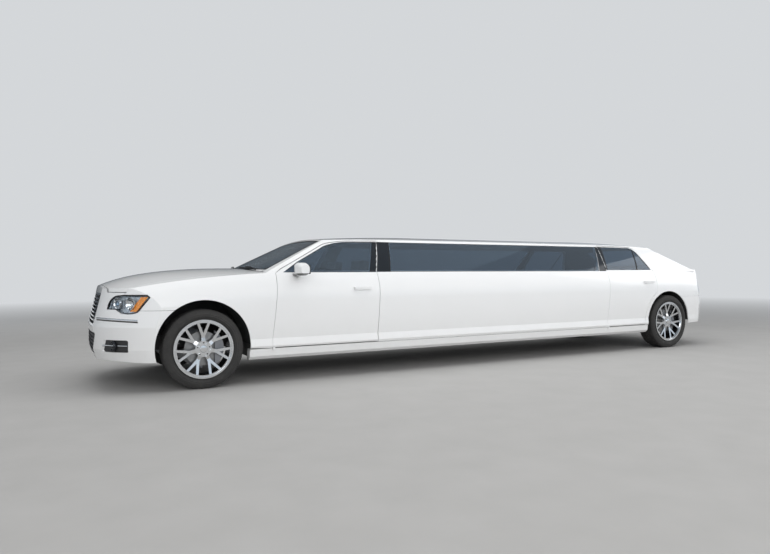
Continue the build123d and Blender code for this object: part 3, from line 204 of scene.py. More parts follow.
# %% Floor and backdrop
FADE_START, FADE_LENGTH = 7.0, 16.0
floor_mesh = bpy.data.meshes.new("floor")
sheet = bmesh.new()
bmesh.ops.create_grid(sheet, x_segments=1, y_segments=1, size=60)
sheet.to_mesh(floor_mesh)
sheet.free()
floor = add_object("floor", floor_mesh)
WALL = (0.66, 0.68, 0.70, 1)
ground = Finish("pale_floor")
floor_colour = ground.blend(ground.noise(3.0, 4.0), (0.37, 0.365, 0.355, 1), (0.43, 0.425, 0.415, 1))
near_floor = ground.shader(Base_Color=floor_colour, Roughness=0.8)
far_floor = ground.node("ShaderNodeEmission", inputs={"Color": WALL, "Strength": 1.0})
fade = ((ground.from_middle() - FADE_START) / FADE_LENGTH).clamped()
faded = ground.node("ShaderNodeMixShader", inputs={0: fade, 1: near_floor, 2: far_floor})
floor_mesh.materials.append(ground.done(faded))

sky = Finish("studio", "worlds")
bpy.context.scene.world = sky.owner
glossy, through, seen_directly = (
    sky.node("ShaderNodeLightPath", output="Is %s Ray" % ray) for ray in ("Glossy", "Transmission", "Camera"))
mirrored = glossy.greater(through)
direction = sky.node("ShaderNodeTexCoord", output="Generated")
aside, height = (sky.node("ShaderNodeSeparateXYZ", inputs={0: direction}, output=axis) for axis in "YZ")
bands = sky.node("ShaderNodeValToRGB", inputs={0: height})
stops = bands.socket.node.color_ramp.elements
for element, spot, colour in zip(stops, (0.0, 0.30), ((0.62, 0.70, 0.78), (0.92, 0.95, 1.0))):
    element.position, element.color = spot, (*colour, 1)
for spot, colour in ((0.14, (0.80, 0.92, 1.05)), (0.50, (0.46, 0.52, 0.58)), (1.0, (0.34, 0.38, 0.42))):
    stops.new(spot).color = (*colour, 1)
far_side = sky.node("ShaderNodeMapRange", inputs={"Value": aside, 1: -0.85, 2: -0.10, 3: 0.14, 4: 1.0})
backdrop = sky.blend(mirrored, WALL, sky.blend(1.0, bands, far_side, blend_type="MULTIPLY"))
lit = sky.node("ShaderNodeBackground", inputs={"Color": (0.97, 0.98, 1.0, 1), "Strength": 0.44})
shown = sky.node("ShaderNodeBackground", inputs={"Color": backdrop, "Strength": 1.0})
both = sky.node("ShaderNodeMixShader", inputs={0: mirrored.greater(seen_directly), 1: lit, 2: shown})
sky.done(both, "ShaderNodeOutputWorld")


# %% Soft lamps
def soft_lamp(name, place, target, size, power, in_mirrors=True):
    lamp = bpy.data.lights.new(name, "AREA")
    lamp.shape, lamp.size, lamp.size_y, lamp.energy = "RECTANGLE", size[0], size[1], power
    made = add_object(name, lamp)
    made.location = place
    made.rotation_euler = (Vector(target) - Vector(place)).to_track_quat("-Z", "Y").to_euler()
    made.visible_glossy = in_mirrors


soft_lamp("overhead_lamp", (0.5, 1.0, 6.5), (0, 0, 0), (12, 5), 380, in_mirrors=False)
soft_lamp("key_lamp", (6.5, 8.0, 4.5), (1.0, 0, 0.6), (8, 4), 220)
soft_lamp("near_side_lamp", (-1.5, 10.0, 3.0), (-1.0, 0, 0.6), (12, 4), 300, in_mirrors=False)
soft_lamp("tail_lamp_fill", (-9.0, 3.5, 4.0), (-3, 0, 0.6), (5, 4), 90)
soft_lamp("far_side_lamp", (0.0, -9.0, 4.5), (0, 0, 0.6), (10, 4), 150, in_mirrors=False)
bpy.context.scene.view_settings.view_transform = "Standard"

# %% [markdown]
# ## Paint
# Car paint is a colour under a clear coat. The coat gives the sharp highlight and the colour under it
# stays soft. Real panels also carry a little dust near the ground, which is a share that falls with
# height, broken up by noise.

# %% White paint
DUST_TOP = 0.62
paint = Finish("white_paint")
drift = paint.noise(2.2, 3.0)
body_white = paint.blend(drift, (0.790, 0.800, 0.805, 1), (0.815, 0.822, 0.825, 1))
dusty = (1.0 - paint.axis("Z") / DUST_TOP).clamped() * (paint.noise(9.0, 5.0, 0.65) * 1.6 - 0.25).clamped()
paint_colour = paint.blend(dusty * 0.35, body_white, (0.52, 0.50, 0.47, 1))
orange_peel = paint.noise(140.0, 2.0)
WHITE = paint.done(paint.shader(
    Base_Color=paint_colour, Roughness=0.34 + dusty * 0.3, Coat_Weight=(1.0 - dusty * 0.5).clamped(),
    Coat_Roughness=0.04, Coat_IOR=1.5, Normal=paint.bump(orange_peel, 0.04, 0.0006)))

# %% [markdown]
# ## Bright metal
# Chrome is nearly a mirror, and cast wheels are the same metal with a broader shine. Both get faint
# smears, because a perfect mirror looks drawn.

# %% Chrome, wheels and plain metals
def metal(name, low, high, rough, scale, uneven, bump_height=0.0):
    finish = Finish(name)
    smear = finish.noise(scale, 4.0, 0.6)
    fine = finish.noise(scale * 14, 2.0)
    sockets = {
        "Base_Color": finish.blend(smear, low, high), "Metallic": 1.0,
        "Roughness": rough + smear * uneven,
    }
    if bump_height:
        sockets["Normal"] = finish.bump(fine, 0.35, bump_height)
    return finish.done(finish.shader(**sockets))


CHROME = metal("chrome", (0.70, 0.71, 0.72, 1), (0.80, 0.81, 0.82, 1), 0.05, 6.0, 0.08)
WHEEL_METAL = metal("wheel_metal", (0.66, 0.67, 0.68, 1), (0.80, 0.81, 0.82, 1), 0.10, 7.0, 0.14)
STEEL = metal("plain_steel", (0.20, 0.20, 0.21, 1), (0.36, 0.36, 0.37, 1), 0.34, 11.0, 0.2, 0.0006)
CAST = metal("cast_iron", (0.05, 0.05, 0.052, 1), (0.14, 0.135, 0.13, 1), 0.55, 13.0, 0.2, 0.0012)

brake = Finish("turned_disc")
rings = (brake.from_middle() * 2600.0).sine()
DISC = brake.done(brake.shader(
    Base_Color=brake.blend(brake.noise(24.0), (0.22, 0.215, 0.21, 1), (0.36, 0.355, 0.35, 1)),
    Metallic=1.0, Roughness=0.32, Normal=brake.bump(rings, 0.12, 0.0003)))

# %% [markdown]
# ## Glass, lamps and dark plastics
# The windows are deeply tinted, so that the cabin only shows as a shadow. A tint in the glass itself
# keeps that true from every side, and the side windows give out a faint blue-grey painted glow. The head
# lamps' lenses are clear, and the red ones have shallow flutes.

# %% Window glass and lenses
def glass(name, tint, rough=0.02, ior=1.45, flutes=None, painted_glow=None):
    finish = Finish(name)
    film = finish.noise(3.0, 3.0)
    low = tuple(channel * 0.92 for channel in tint) + (1,)
    sockets = {
        "Base_Color": finish.blend(film, low, tint + (1,)), "Roughness": rough, "IOR": ior,
        "Transmission_Weight": 1.0,
    }
    # A glass can give out a faint light of its own: a painted glow.
    if painted_glow:
        sockets["Emission_Color"], sockets["Emission_Strength"] = painted_glow + (1,), 1.0
    if flutes:
        ridges = (finish.axis(flutes[0]) * flutes[1]).sine()
        sockets["Normal"] = finish.bump(ridges, 0.25, flutes[2])
    return finish.done(finish.shader(**sockets))


# The side window glass gives out a faint blue-grey painted glow.
WINDOW = glass("tinted_glass", (0.19, 0.26, 0.33), 0.015, painted_glow=(0.026, 0.031, 0.037))
SCREEN_GLASS = glass("windshield_glass", (0.22, 0.28, 0.33), 0.015)
CLEAR_LENS = glass("clear_lens", (0.93, 0.95, 0.96), 0.01, 1.12)
RED_LENS = glass("red_lens", (0.62, 0.015, 0.02), 0.03, 1.2, ("Z", 900.0, 0.0006))
AMBER = Finish("amber_lens")
AMBER = AMBER.done(AMBER.shader(
    Base_Color=AMBER.blend(AMBER.noise(60.0), (0.85, 0.24, 0.01, 1), (0.95, 0.34, 0.02, 1)),
    Roughness=0.12, Coat_Weight=1.0, Normal=AMBER.bump((AMBER.axis("Y") * 700.0).sine(), 0.5, 0.001)))


def plastic(name, level, rough, grain=600.0, depth=0.0004, coat=0.0, tone=(1.0, 1.0, 1.0)):
    finish = Finish(name)
    cloud = finish.noise(8.0, 3.0)
    low = tuple(level * t * 0.75 for t in tone) + (1,)
    high = tuple(level * t * 1.25 for t in tone) + (1,)
    pebble = finish.cells(grain)
    return finish.done(finish.shader(
        Base_Color=finish.blend(cloud, low, high), Roughness=rough, Coat_Weight=coat, Coat_Roughness=0.05,
        Normal=finish.bump(pebble, 0.35, depth)))


DARK_GLOSS = plastic("dark_gloss", 0.012, 0.08, 90.0, 0.00003, 0.0, (0.8, 1.0, 1.3))
BLACK_PLASTIC = plastic("black_plastic", 0.022, 0.5)
SEAL = plastic("seal_rubber", 0.016, 0.45, 900.0, 0.0002)
LINER = plastic("liner_felt", 0.018, 0.9, 260.0, 0.0012)
TRIM_PLASTIC = plastic("cabin_plastic", 0.035, 0.55, 420.0, 0.0006)
LAMP_HOUSING = plastic("lamp_housing", 0.03, 0.25, 300.0, 0.0001, 0.5)

# %% [markdown]
# ## Leather and carpet
# Leather is a cell pattern with soft creases. Carpet and cloth are a fine noise that moves their colour.

# %% Leather and carpet
def grained(name, noise, low, high, rough, bump):
    """A finish whose colour and surface follow one noise."""
    finish = Finish(name)
    grain = finish.noise(*noise)
    return finish.done(finish.shader(
        Base_Color=finish.blend(grain, low, high), Roughness=rough, Normal=finish.bump(grain, *bump)))


hide = Finish("black_leather")
creases = hide.cells(210.0, "DISTANCE_TO_EDGE")
pores = hide.noise(55.0, 4.0, 0.6)
LEATHER = hide.done(hide.shader(
    Base_Color=hide.blend(pores, (0.018, 0.017, 0.017, 1), (0.045, 0.042, 0.040, 1)),
    Roughness=0.38 + pores * 0.2, Normal=hide.bump(creases * 0.6 + pores * 0.5, 0.5, 0.0012)))
CARPET = grained("dark_carpet", (900.0, 3.0, 0.7), (0.015, 0.015, 0.016, 1), (0.060, 0.058, 0.056, 1), 0.95,
                 (0.8, 0.002))
CLOTH = grained("lining_cloth", (700.0, 2.0), (0.045, 0.044, 0.044, 1), (0.085, 0.083, 0.081, 1), 0.9,
                (0.4, 0.0006))

# %% [markdown]
# ## Tyre rubber
# Rubber is dark and dull. A noise spreads pale dust over the whole tyre.

# %% Rubber
rubber = Finish("tyre_rubber")
bloom = rubber.noise(16.0, 5.0, 0.65)
scuffs = rubber.noise(120.0, 4.0, 0.6)
RUBBER = rubber.done(rubber.shader(
    Base_Color=rubber.blend(bloom, (0.016, 0.016, 0.017, 1), (0.050, 0.048, 0.045, 1)),
    Roughness=0.72 + scuffs * 0.2, Normal=rubber.bump(scuffs, 0.4, 0.0008)))

# %% [markdown]
# ## Finishes for the solid parts
# Most solid parts take the finish of their slot in the record. A few differ and are named on their own.

# %% Dress the solid parts
by_slot = {
    "white_paint": WHITE, "chrome": CHROME, "tinted_glass": WINDOW, "clear_lens": CLEAR_LENS,
    "red_lens": RED_LENS, "dark_gloss": DARK_GLOSS, "black_plastic": BLACK_PLASTIC, "tyre": RUBBER,
    "steel": STEEL, "cast": CAST, "leather": LEATHER, "carpet": CARPET,
}
by_name = {
    "windshield": SCREEN_GLASS, "wheel_liners": LINER, "dashboard": TRIM_PLASTIC, "steering_wheel": LEATHER,
}
for part in frame["record"]["subparts"]:
    name = part["node"]
    finish = by_name.get(name, by_slot[part["material_slot"]])
    if name.startswith("rim_"):
        finish = WHEEL_METAL
    if name.startswith("disc_"):
        finish = DISC
    mesh = nodes[name].data
    mesh.materials.clear()
    mesh.materials.append(finish)
print("finishes", len(bpy.data.materials))

# %% [markdown]
# ## Making pieces
# Most pieces follow the same three steps: shape a bmesh, give it a finish, and let it ride on the body
# that carries it. A surface finder answers where a straight line first meets the car, so that trim can
# lie on the real curve of a panel.

# %% Helpers for pieces
usual_slot = {finish.name: slot for slot, finish in by_slot.items()}
usual_slot.update(
    lamp_housing="black_plastic", seal_rubber="black_plastic", cabin_plastic="black_plastic",
    lamp_silver="chrome", silvered_glass="chrome", amber_lens="red_lens", lining_cloth="carpet",
)


def carried(name, mesh, finish, body):
    """An object of a mesh, with its finish, on the body that carries it."""
    mesh.materials.clear()
    mesh.materials.append(finish)
    made = add_object(name, mesh)
    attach(made, body)
    return made


def piece(name, shape, finish, body="body", smooth=False, turned_out=True, split=None, wall=None):
    """A mesh object from a bmesh. Its edges are split above an angle, and a sheet gets a wall."""
    if turned_out:
        bmesh.ops.recalc_face_normals(shape, faces=shape.faces[:])
    for face in shape.faces:
        face.smooth = smooth
    mesh = bpy.data.meshes.new(name)
    shape.to_mesh(mesh)
    shape.free()
    made = carried(name, mesh, finish, body)
    if split:
        made.modifiers.new("edge_split", "EDGE_SPLIT").split_angle = math.radians(split)
    if wall:
        thick = made.modifiers.new("solidify", "SOLIDIFY")
        thick.thickness, thick.offset = wall
    return made


def spun(rows, steps, close=False):
    """A body turned about the Y axis through the origin, from rows of width and radius."""
    shape = bmesh.new()
    points = [shape.verts.new((0, y, radius)) for y, radius in rows]
    pairs = zip(points, points[1:] + points[:1]) if close else zip(points, points[1:])
    geometry = points + [shape.edges.new(pair) for pair in pairs]
    bmesh.ops.spin(shape, geom=geometry, cent=(0, 0, 0), axis=(0, 1, 0), angle=math.tau, steps=steps,
                   use_merge=True, use_duplicate=False)
    bmesh.ops.remove_doubles(shape, verts=shape.verts[:], dist=1e-6)
    bmesh.ops.recalc_face_normals(shape, faces=shape.faces[:])
    return shape


def move(shape, place=(0, 0, 0), turn=(0, 0, 0), scale=(1, 1, 1)):
    whole = Matrix.Translation(place)
    for axis in (2, 1, 0):
        whole = whole @ Matrix.Rotation(turn[axis], 4, "XYZ"[axis])
    bmesh.ops.transform(shape, matrix=whole @ Matrix.Diagonal((*scale, 1)), verts=shape.verts[:])
    return shape


def soft_box(low, high, radius, segments=3):
    """A box between two corners with rounded edges."""
    shape = bmesh.new()
    bmesh.ops.create_cube(shape, size=1)
    size = [b - a for a, b in zip(low, high)]
    move(shape, [(a + b) / 2 for a, b in zip(low, high)], scale=size)
    bmesh.ops.bevel(shape, geom=shape.edges[:] + shape.verts[:], offset=radius, affect="EDGES",
                    segments=segments, profile=0.5, material=-1, clamp_overlap=True)
    return shape


def box_piece(name, low, high, radius, finish, body="body", segments=3, split=None):
    piece(name, soft_box(low, high, radius, segments), finish, body, split=split)


def joined(*shapes):
    """Several bmeshes in one."""
    whole = bmesh.new()
    for shape in shapes:
        mesh = bpy.data.meshes.new("part")
        shape.to_mesh(mesh)
        shape.free()
        whole.from_mesh(mesh)
        bpy.data.meshes.remove(mesh)
    return whole


def on_side(shape, way):
    """The same shape, which is mirrored where it's for the car's right side."""
    if way < 0:
        bmesh.ops.scale(shape, vec=(1, -1, 1), verts=shape.verts[:])
        bmesh.ops.reverse_faces(shape, faces=shape.faces[:])
    return shape


def laid_grid(columns, rows, place_of):
    """A grid whose points are laid by a function of their shares across and up. Lost ones go."""
    grid = bmesh.new()
    bmesh.ops.create_grid(grid, x_segments=columns, y_segments=rows, size=0.5)
    lost = []
    for vert in grid.verts:
        place = place_of(vert.co.x, vert.co.y)
        if place is None:
            lost.append(vert)
        else:
            vert.co = place
    bmesh.ops.delete(grid, geom=lost, context="VERTS")
    return grid


finders = {}


def finder(name):
    if name not in finders:
        mesh = nodes[name].data
        faces = [face.vertices for face in mesh.polygons]
        finders[name] = BVHTree.FromPolygons([vert.co for vert in mesh.vertices], faces)
    return finders[name]


def touch(names, start, way, lift=0.0):
    """Where a line first meets one of the parts, whose names stand in one string, lifted off its face."""
    best = None
    for name in names.split():
        hit, normal, _, reach = finder(name).ray_cast(Vector(start), Vector(way).normalized())
        if hit and (best is None or reach < best[2]):
            best = (hit, normal, reach)
    if best is None:
        return None
    hit, normal, _ = best
    if normal.dot(Vector(way)) > 0:
        normal = -normal
    return hit + normal * lift


# Lines of sight start this far outside the car: beside it, above it, ahead of an axle and behind one.
BESIDE, ABOVE, IN_FRONT, BEHIND = 1.3, 2.0, 1.2, 1.4


def from_side(names, x, z, way, lift=0.0):
    return touch(names, (FRONT_AXLE + x, way * BESIDE, z), (0, -way, 0), lift)


def from_above(names, x, y, lift=0.0):
    return touch(names, (x, y, ABOVE), (0, 0, -1), lift)


def from_front(names, y, z, lift=0.0):
    return touch(names, (FRONT_AXLE + IN_FRONT, y, z), (-1, 0, 0), lift)


def from_behind(names, y, z, lift=0.0):
    return touch(names, (REAR_AXLE - BEHIND, y, z), (1, 0, 0), lift)


def found(places):
    return [place for place in places if place]


def rod(name, runs, radius, finish, body="body", smooth_line=False, closed=False, sides=6):
    """Round bars along lines of points, made as a bevelled curve and turned into a mesh."""
    curve = bpy.data.curves.new(name, "CURVE")
    curve.dimensions = "3D"
    curve.bevel_depth = radius
    curve.bevel_resolution = max(0, (sides - 4) // 2)
    curve.use_fill_caps = True
    for points in runs:
        spline = curve.splines.new("NURBS" if smooth_line else "POLY")
        spline.points.add(len(points) - 1)
        for point, place in zip(spline.points, points):
            point.co = (*place, 1)
        spline.use_cyclic_u = closed
        if smooth_line:
            spline.order_u = 3
            spline.use_endpoint_u = not closed
    holder = add_object(name + "_line", curve)
    bpy.context.view_layer.update()
    mesh = bpy.data.meshes.new_from_object(holder.evaluated_get(bpy.context.evaluated_depsgraph_get()))
    bpy.data.objects.remove(holder)
    mesh.name = name
    for face in mesh.polygons:
        face.use_smooth = True
    carried(name, mesh, finish, body)


# %% [markdown]
# ## Tyres
# A tyre is spun at the depth of its grooves, and each face of a rib is then raised as a block of its own,
# which leaves grooves round and across. It replaces the plain tyre and stays on its rim.

# %% Tyres
TREAD_DEPTH = 0.007
TYRE_RADIUS = 0.364
BEAD_RADIUS = 0.262
TYRE_STEPS = 84
rib_edges = (-0.092, -0.056, -0.050, -0.021, -0.015, 0.015, 0.021, 0.050, 0.056, 0.092)
floor_radius = TYRE_RADIUS - TREAD_DEPTH
wall = (
    (0.097, BEAD_RADIUS), (0.097, BEAD_RADIUS + 0.011), (0.112, 0.288), (0.1185, 0.300), (0.1200, 0.303),
    (0.1185, 0.306), (0.1190, 0.316), (0.1205, 0.319), (0.1185, 0.322), (0.1165, 0.334), (0.112, 0.346),
    (0.104, floor_radius - 0.002),
)
rows = [(-y, r) for y, r in wall] + [(y, floor_radius) for y in rib_edges] + list(reversed(wall))
tyre = spun(rows, TYRE_STEPS, close=True)
rib_middles = [(a + b) / 2 for a, b in zip(rib_edges, rib_edges[1:]) if b - a > 0.02]


def outer_faces(chosen, least):
    """The faces of the tyre whose middle's width is a chosen one, outside a radius."""
    middles = [(face, face.calc_center_median()) for face in tyre.faces]
    return [face for face, middle in middles if chosen(middle.y) and math.hypot(middle.x, middle.z) > least]


blocks = outer_faces(lambda y: any(abs(y - middle) < 0.002 for middle in rib_middles), floor_radius - 0.002)
shoulders = outer_faces(lambda y: 0.092 < abs(y) < 0.104, floor_radius - 0.003)
bmesh.ops.inset_individual(tyre, faces=blocks, thickness=0.0016, depth=TREAD_DEPTH - 0.0006)
bmesh.ops.inset_individual(tyre, faces=shoulders, thickness=0.0014, depth=0.004)
print("tread blocks", len(blocks), "shoulder blocks", len(shoulders))
for wheel, way, hub in WHEELS:
    shape = move(tyre.copy(), hub)
    made = piece("tread_tyre_" + wheel, shape, RUBBER, "wheel_" + wheel, smooth=True, split=35)
    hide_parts("tyre_" + wheel)

# %% [markdown]
# ## Wheel fittings
# Five nuts sit in their pockets round the hub, a plain domed cap closes it, and a valve stem comes
# through the rim. They turn with their wheel.

# %% Nuts, caps and valves
WHEEL_FACE = 0.088
NUT_CIRCLE = 0.057
nut = bmesh.new()
bmesh.ops.create_cone(nut, cap_ends=True, segments=6, radius1=0.0100, radius2=0.0088, depth=0.014)
bmesh.ops.bevel(nut, geom=[e for e in nut.edges if min(v.co.z for v in e.verts) > 0], offset=0.0018,
                affect="EDGES", segments=2, profile=0.5, material=-1)
move(nut, turn=(math.radians(-90), 0, 0))
cap = spun([(0, 0.0325), (0.003, 0.0325), (0.0055, 0.030), (0.0062, 0.024), (0.007, 0.012), (0.0072, 0)], 40)
valve = spun([(0, 0.0036), (0.026, 0.0036), (0.027, 0.0045), (0.036, 0.0045), (0.038, 0.003), (0.038, 0)], 12)
for wheel, way, hub in WHEELS:
    turns = [math.tau * step / 5 + math.radians(90) for step in range(5)]
    places = [(NUT_CIRCLE * math.cos(a), WHEEL_FACE - 0.007, NUT_CIRCLE * math.sin(a)) for a in turns]
    shapes = [move(nut.copy(), place) for place in places]
    shapes.append(move(cap.copy(), (0, WHEEL_FACE + 0.004, 0)))
    shapes.append(move(valve.copy(), (0.215, WHEEL_FACE - 0.060, 0.06)))
    shape = move(on_side(joined(*shapes), way), hub)
    piece("wheel_fittings_" + wheel, shape, CHROME, "wheel_" + wheel, split=40)

# %% [markdown]
# ## Nose
# Behind the bright bars of the grille stands a dark raked plate that follows the nose, with its cells
# pushed in. The lower intake has slats, and each fog lamp is a domed lens in a dark ring.

# %% Grille backing
NOSE_HALF = 0.45


def nose_reach(y, z):
    """How far the nose stands ahead of the front axle at a width and a height."""
    rake = 0.915 - (0.915 - 0.833) * max(0.0, z - 0.58) / 0.34
    return FRONT_AXLE + rake - 0.015 * (abs(y) / NOSE_HALF) ** 2 - max(0.0, abs(y) - NOSE_HALF) * 0.35


def on_backing(across_share, up_share):
    y, z = across_share * 2 * NOSE_HALF, 0.731 + up_share * 0.316
    return nose_reach(y, z) - 0.040, y, z


backing = laid_grid(60, 22, on_backing)
bmesh.ops.inset_individual(backing, faces=backing.faces[:], thickness=0.0022, depth=0.005)
piece("grille_backing", backing, BLACK_PLASTIC)

front_slats = []
for z in (0.365, 0.400, 0.435, 0.470, 0.505):
    half = 0.43 + (z - 0.33) / 0.2 * 0.05
    front_slats.append(found(from_front("intake_grille", half * step / 8, z, 0.006) for step in range(-8, 9)))
rod("intake_slats", front_slats, 0.0055, BLACK_PLASTIC, sides=8)

# %% Fog lamps
FOG_HEIGHT = 0.416
fog_ring = spun([(0.004, 0.036), (0.012, 0.038), (0.015, 0.042), (0.012, 0.046), (0, 0.048),
                 (-0.012, 0.047), (-0.014, 0.036)], 40, close=True)
fog_lens = spun([(-0.006, 0.0365), (0.004, 0.036), (0.009, 0.028), (0.012, 0.015), (0.013, 0.0)], 40)
fog_bowl = spun([(-0.004, 0.034), (-0.020, 0.028), (-0.030, 0.016), (-0.033, 0.0)], 32)
for side, way in SIDES:
    spot = from_front("intake_grille", way * 0.705, FOG_HEIGHT, 0.004)
    for name, source, finish in (
        ("fog_ring_", fog_ring, DARK_GLOSS), ("fog_lens_", fog_lens, CLEAR_LENS),
        ("fog_bowl_", fog_bowl, LAMP_HOUSING),
    ):
        shape = move(source.copy(), spot, (0, 0, math.radians(-90 + way * 14)))
        piece(name + side, shape, finish, smooth=True)

# %% [markdown]
# ## Trim that follows a panel
# A bright strip runs under each head lamp, with a black bar under it that is its painted shadow, and a
# thin bright bar crosses each fog lamp. Their lines are found by looking at the bumper from outside, so that
# they lie on its curve.

# %% Bright strips on the bumper
STRIP = ((0.86, 0.50, 0.655), (0.83, 0.58, 0.654), (0.79, 0.66, 0.652), (0.74, 0.73, 0.650),
         (0.68, 0.79, 0.647), (0.62, 0.83, 0.644), (0.56, 0.87, 0.641))


def on_bumper(x, y, z, lift):
    way = Vector((-1.0, -0.9 * (1 if y > 0 else -1), 0)) if abs(y) > 0.52 else Vector((-1, 0, 0))
    way.normalize()
    return touch("front_bumper", Vector((x, y, z)) - way * 0.4, way, lift)


for side, way in SIDES:
    line = found(on_bumper(FRONT_AXLE + x, way * y, z, 0.001) for x, y, z in STRIP)
    rod("bumper_strip_" + side, [line], 0.0105, CHROME, smooth_line=True, sides=12)
    # A black bar just under the bright strip stands in for the strip's shadow: a painted shadow.
    painted_shadow_line = [point - Vector((0, 0, 0.0135)) for point in line]
    rod("bumper_shade_" + side, [painted_shadow_line], 0.006, SEAL, smooth_line=True, sides=8)
    bar = found(from_front("intake_grille front_bumper", way * y, FOG_HEIGHT + 0.004, 0.008)
                for y in (0.615, 0.65, 0.69, 0.73, 0.77, 0.81))
    rod("fog_bar_" + side, [bar], 0.0045, CHROME, sides=8)

# %% [markdown]
# ## Head lamps
# Under each clear lens is a silver tray with two reflector bowls and a round projector in the inner one.
# An amber strip lies along the outer end. The tray is a grid that is laid a little behind the lens by
# looking at the lens square on, and its rim is drawn forward to meet it.

# %% Head lamps
silver = Finish("lamp_silver")
mist = silver.noise(30.0, 3.0)
SILVER = silver.done(silver.shader(
    Base_Color=silver.blend(mist, (0.50, 0.54, 0.58, 1), (0.62, 0.66, 0.70, 1)), Metallic=0.4,
    Roughness=0.22 + mist * 0.1, Normal=silver.bump(mist, 0.1, 0.0004)))
LAMP_ORIGIN = Vector((FRONT_AXLE + 0.660, 0.720, 0))
LAMP_ALONG = Vector((-1, 1, 0)).normalized()
LAMP_OUT = Vector((1, 1, 0)).normalized()
LAMP_MIDDLE = (0.05, 0.785)
INNER_LAMP, OUTER_LAMP = (-0.055, 0.795), (0.085, 0.790)


def on_lamp(u, z, depth):
    """A point behind the left lens, from its distance along the lamp, its height and its depth."""
    start = LAMP_ORIGIN + LAMP_ALONG * u + Vector((0, 0, z)) + LAMP_OUT * 0.4
    return touch("headlamps", start, -LAMP_OUT, -depth)


def on_tray(along_share, up_share):
    return on_lamp(0.052 + along_share * 0.430, 0.786 + up_share * 0.168, 0.052)


def on_marker(along_share, up_share):
    """The marker leans outwards, along the lamp's outer edge."""
    rise = up_share + 0.5
    return on_lamp(0.150 + 0.096 * rise - 0.062 * (0.5 - along_share), 0.722 + 0.130 * rise, 0.012)


tray = laid_grid(34, 13, on_tray)
grown = bmesh.ops.extrude_edge_only(tray, edges=[edge for edge in tray.edges if edge.is_boundary])
rim = [part for part in grown["geom"] if isinstance(part, bmesh.types.BMVert)]
bmesh.ops.translate(tray, vec=LAMP_OUT * 0.040, verts=rim)
bowl = spun([(0, 0.052), (-0.001, 0.049), (-0.014, 0.043), (-0.028, 0.030), (-0.036, 0.014),
             (-0.038, 0.004)], 40)
projector = spun([(-0.030, 0.024), (-0.006, 0.026), (0.000, 0.023), (0.004, 0.016), (0.006, 0.0)], 32)
collar = spun([(-0.030, 0.0265), (-0.002, 0.030), (0.001, 0.028), (0.000, 0.0262)], 32)
toward = (0, 0, math.radians(-45 - 12))
for side, way in SIDES:
    bowls = joined(move(bowl.copy(), on_lamp(*INNER_LAMP, 0.010), toward),
                   move(bowl.copy(), on_lamp(*OUTER_LAMP, 0.008), toward, (1.12, 1, 1.12)))
    for name, shape, finish, slot_name, smooth, lamp_wall in (
        ("lamp_tray_", tray.copy(), SILVER, None, False, (0.0015, -1.0)),
        ("lamp_bowls_", bowls, CHROME, None, True, (0.0015, -1.0)),
        ("lamp_projector_", move(projector.copy(), on_lamp(*INNER_LAMP, 0.012), toward), WINDOW, "clear_lens",
         True, None),
        ("lamp_collar_", move(collar.copy(), on_lamp(*INNER_LAMP, 0.010), toward), CHROME, None, True, None),
        ("amber_marker_", laid_grid(5, 12, on_marker), AMBER, None, False, (0.008, -1.0)),
    ):
        piece(name + side, on_side(shape, way), finish, smooth=smooth, turned_out=False,
              wall=lamp_wall)

LAMP_EDGE = (
    (-0.062, 0.741), (-0.170, 0.741), (-0.164, 0.782), (-0.150, 0.810), (-0.128, 0.832), (-0.100, 0.849),
    (-0.070, 0.861), (-0.025, 0.864), (0.020, 0.867), (0.130, 0.867), (0.240, 0.867), (0.268, 0.846),
    (0.218, 0.780), (0.169, 0.717), (0.130, 0.706), (0.084, 0.701), (0.040, 0.704), (0.000, 0.712),
)
middle_u, middle_z = LAMP_MIDDLE
for side, way in SIDES:
    rim = found(on_lamp(middle_u + (u - middle_u) * 0.985, middle_z + (z - middle_z) * 0.965, 0.0005)
                for u, z in LAMP_EDGE)
    rim = [Vector((place.x, way * place.y, place.z)) for place in rim]
    rod("lamp_seal_" + side, [rim], 0.0035, SEAL, closed=True, sides=8)

# %% [markdown]
# ## Window seals
# The side windows are flush, with a thin black rubber line round each. The outlines are given from the
# side, ahead of the front axle and up, and a line of sight across the car finds the glass at each point.
# The seals of a door's window swing with the door.

# %% Seals round the side windows
FRONT_WINDOW = ((-0.782, 1.069), (-0.949, 1.169), (-1.272, 1.334), (-1.410, 1.371), (-1.570, 1.385),
                (-1.893, 1.391), (-1.795, 1.069))
REAR_WINDOW = ((-5.220, 1.085), (-5.252, 1.391), (-5.820, 1.384), (-5.932, 1.345), (-5.970, 1.290),
               (-6.068, 1.085))
LONG_WINDOW = ((-1.977, 1.071), (-2.055, 1.391), (-5.200, 1.391), (-5.080, 1.071))
DIVIDER = ((-5.897, 1.345), (-5.870, 1.270), (-5.840, 1.180), (-5.808, 1.090))
SEAL_STEP = 0.08


def side_loop(outline, name, way):
    """Points along an outline seen from the side, laid on the glass."""
    points = []
    for (x0, z0), (x1, z1) in zip(outline, outline[1:] + outline[:1]):
        parts = max(1, round(math.hypot(x1 - x0, z1 - z0) / SEAL_STEP))
        for share in (i / parts for i in range(parts)):
            points.append(from_side(name, x0 + (x1 - x0) * share, z0 + (z1 - z0) * share, way, 0.0005))
    return found(points)


for side, way in SIDES:
    for end, outline in (("front", FRONT_WINDOW), ("rear", REAR_WINDOW)):
        door = "door_%s_%s" % (end, side)
        loop = side_loop(outline, door + "_glass", way)
        rod("window_seal_%s_%s" % (end, side), [loop], 0.0035, SEAL, door, closed=True)
    loop = side_loop(LONG_WINDOW, "stretch_windows", way)
    rod("window_seal_long_" + side, [loop], 0.0035, SEAL, closed=True)
    bar = found(from_side("door_rear_%s_glass" % side, x, z, way) for x, z in DIVIDER)
    rod("window_divider_" + side, [bar], 0.009, SEAL, "door_rear_" + side, sides=8)
    print(side, "seal points", len(loop), "divider points", len(bar))


# %% [markdown]
# The covers on the pillars between door and long window are black, and so are the door frames beside
# them. Each door frame there gets a black strip of tape, laid on the paint and the edge of the glass.

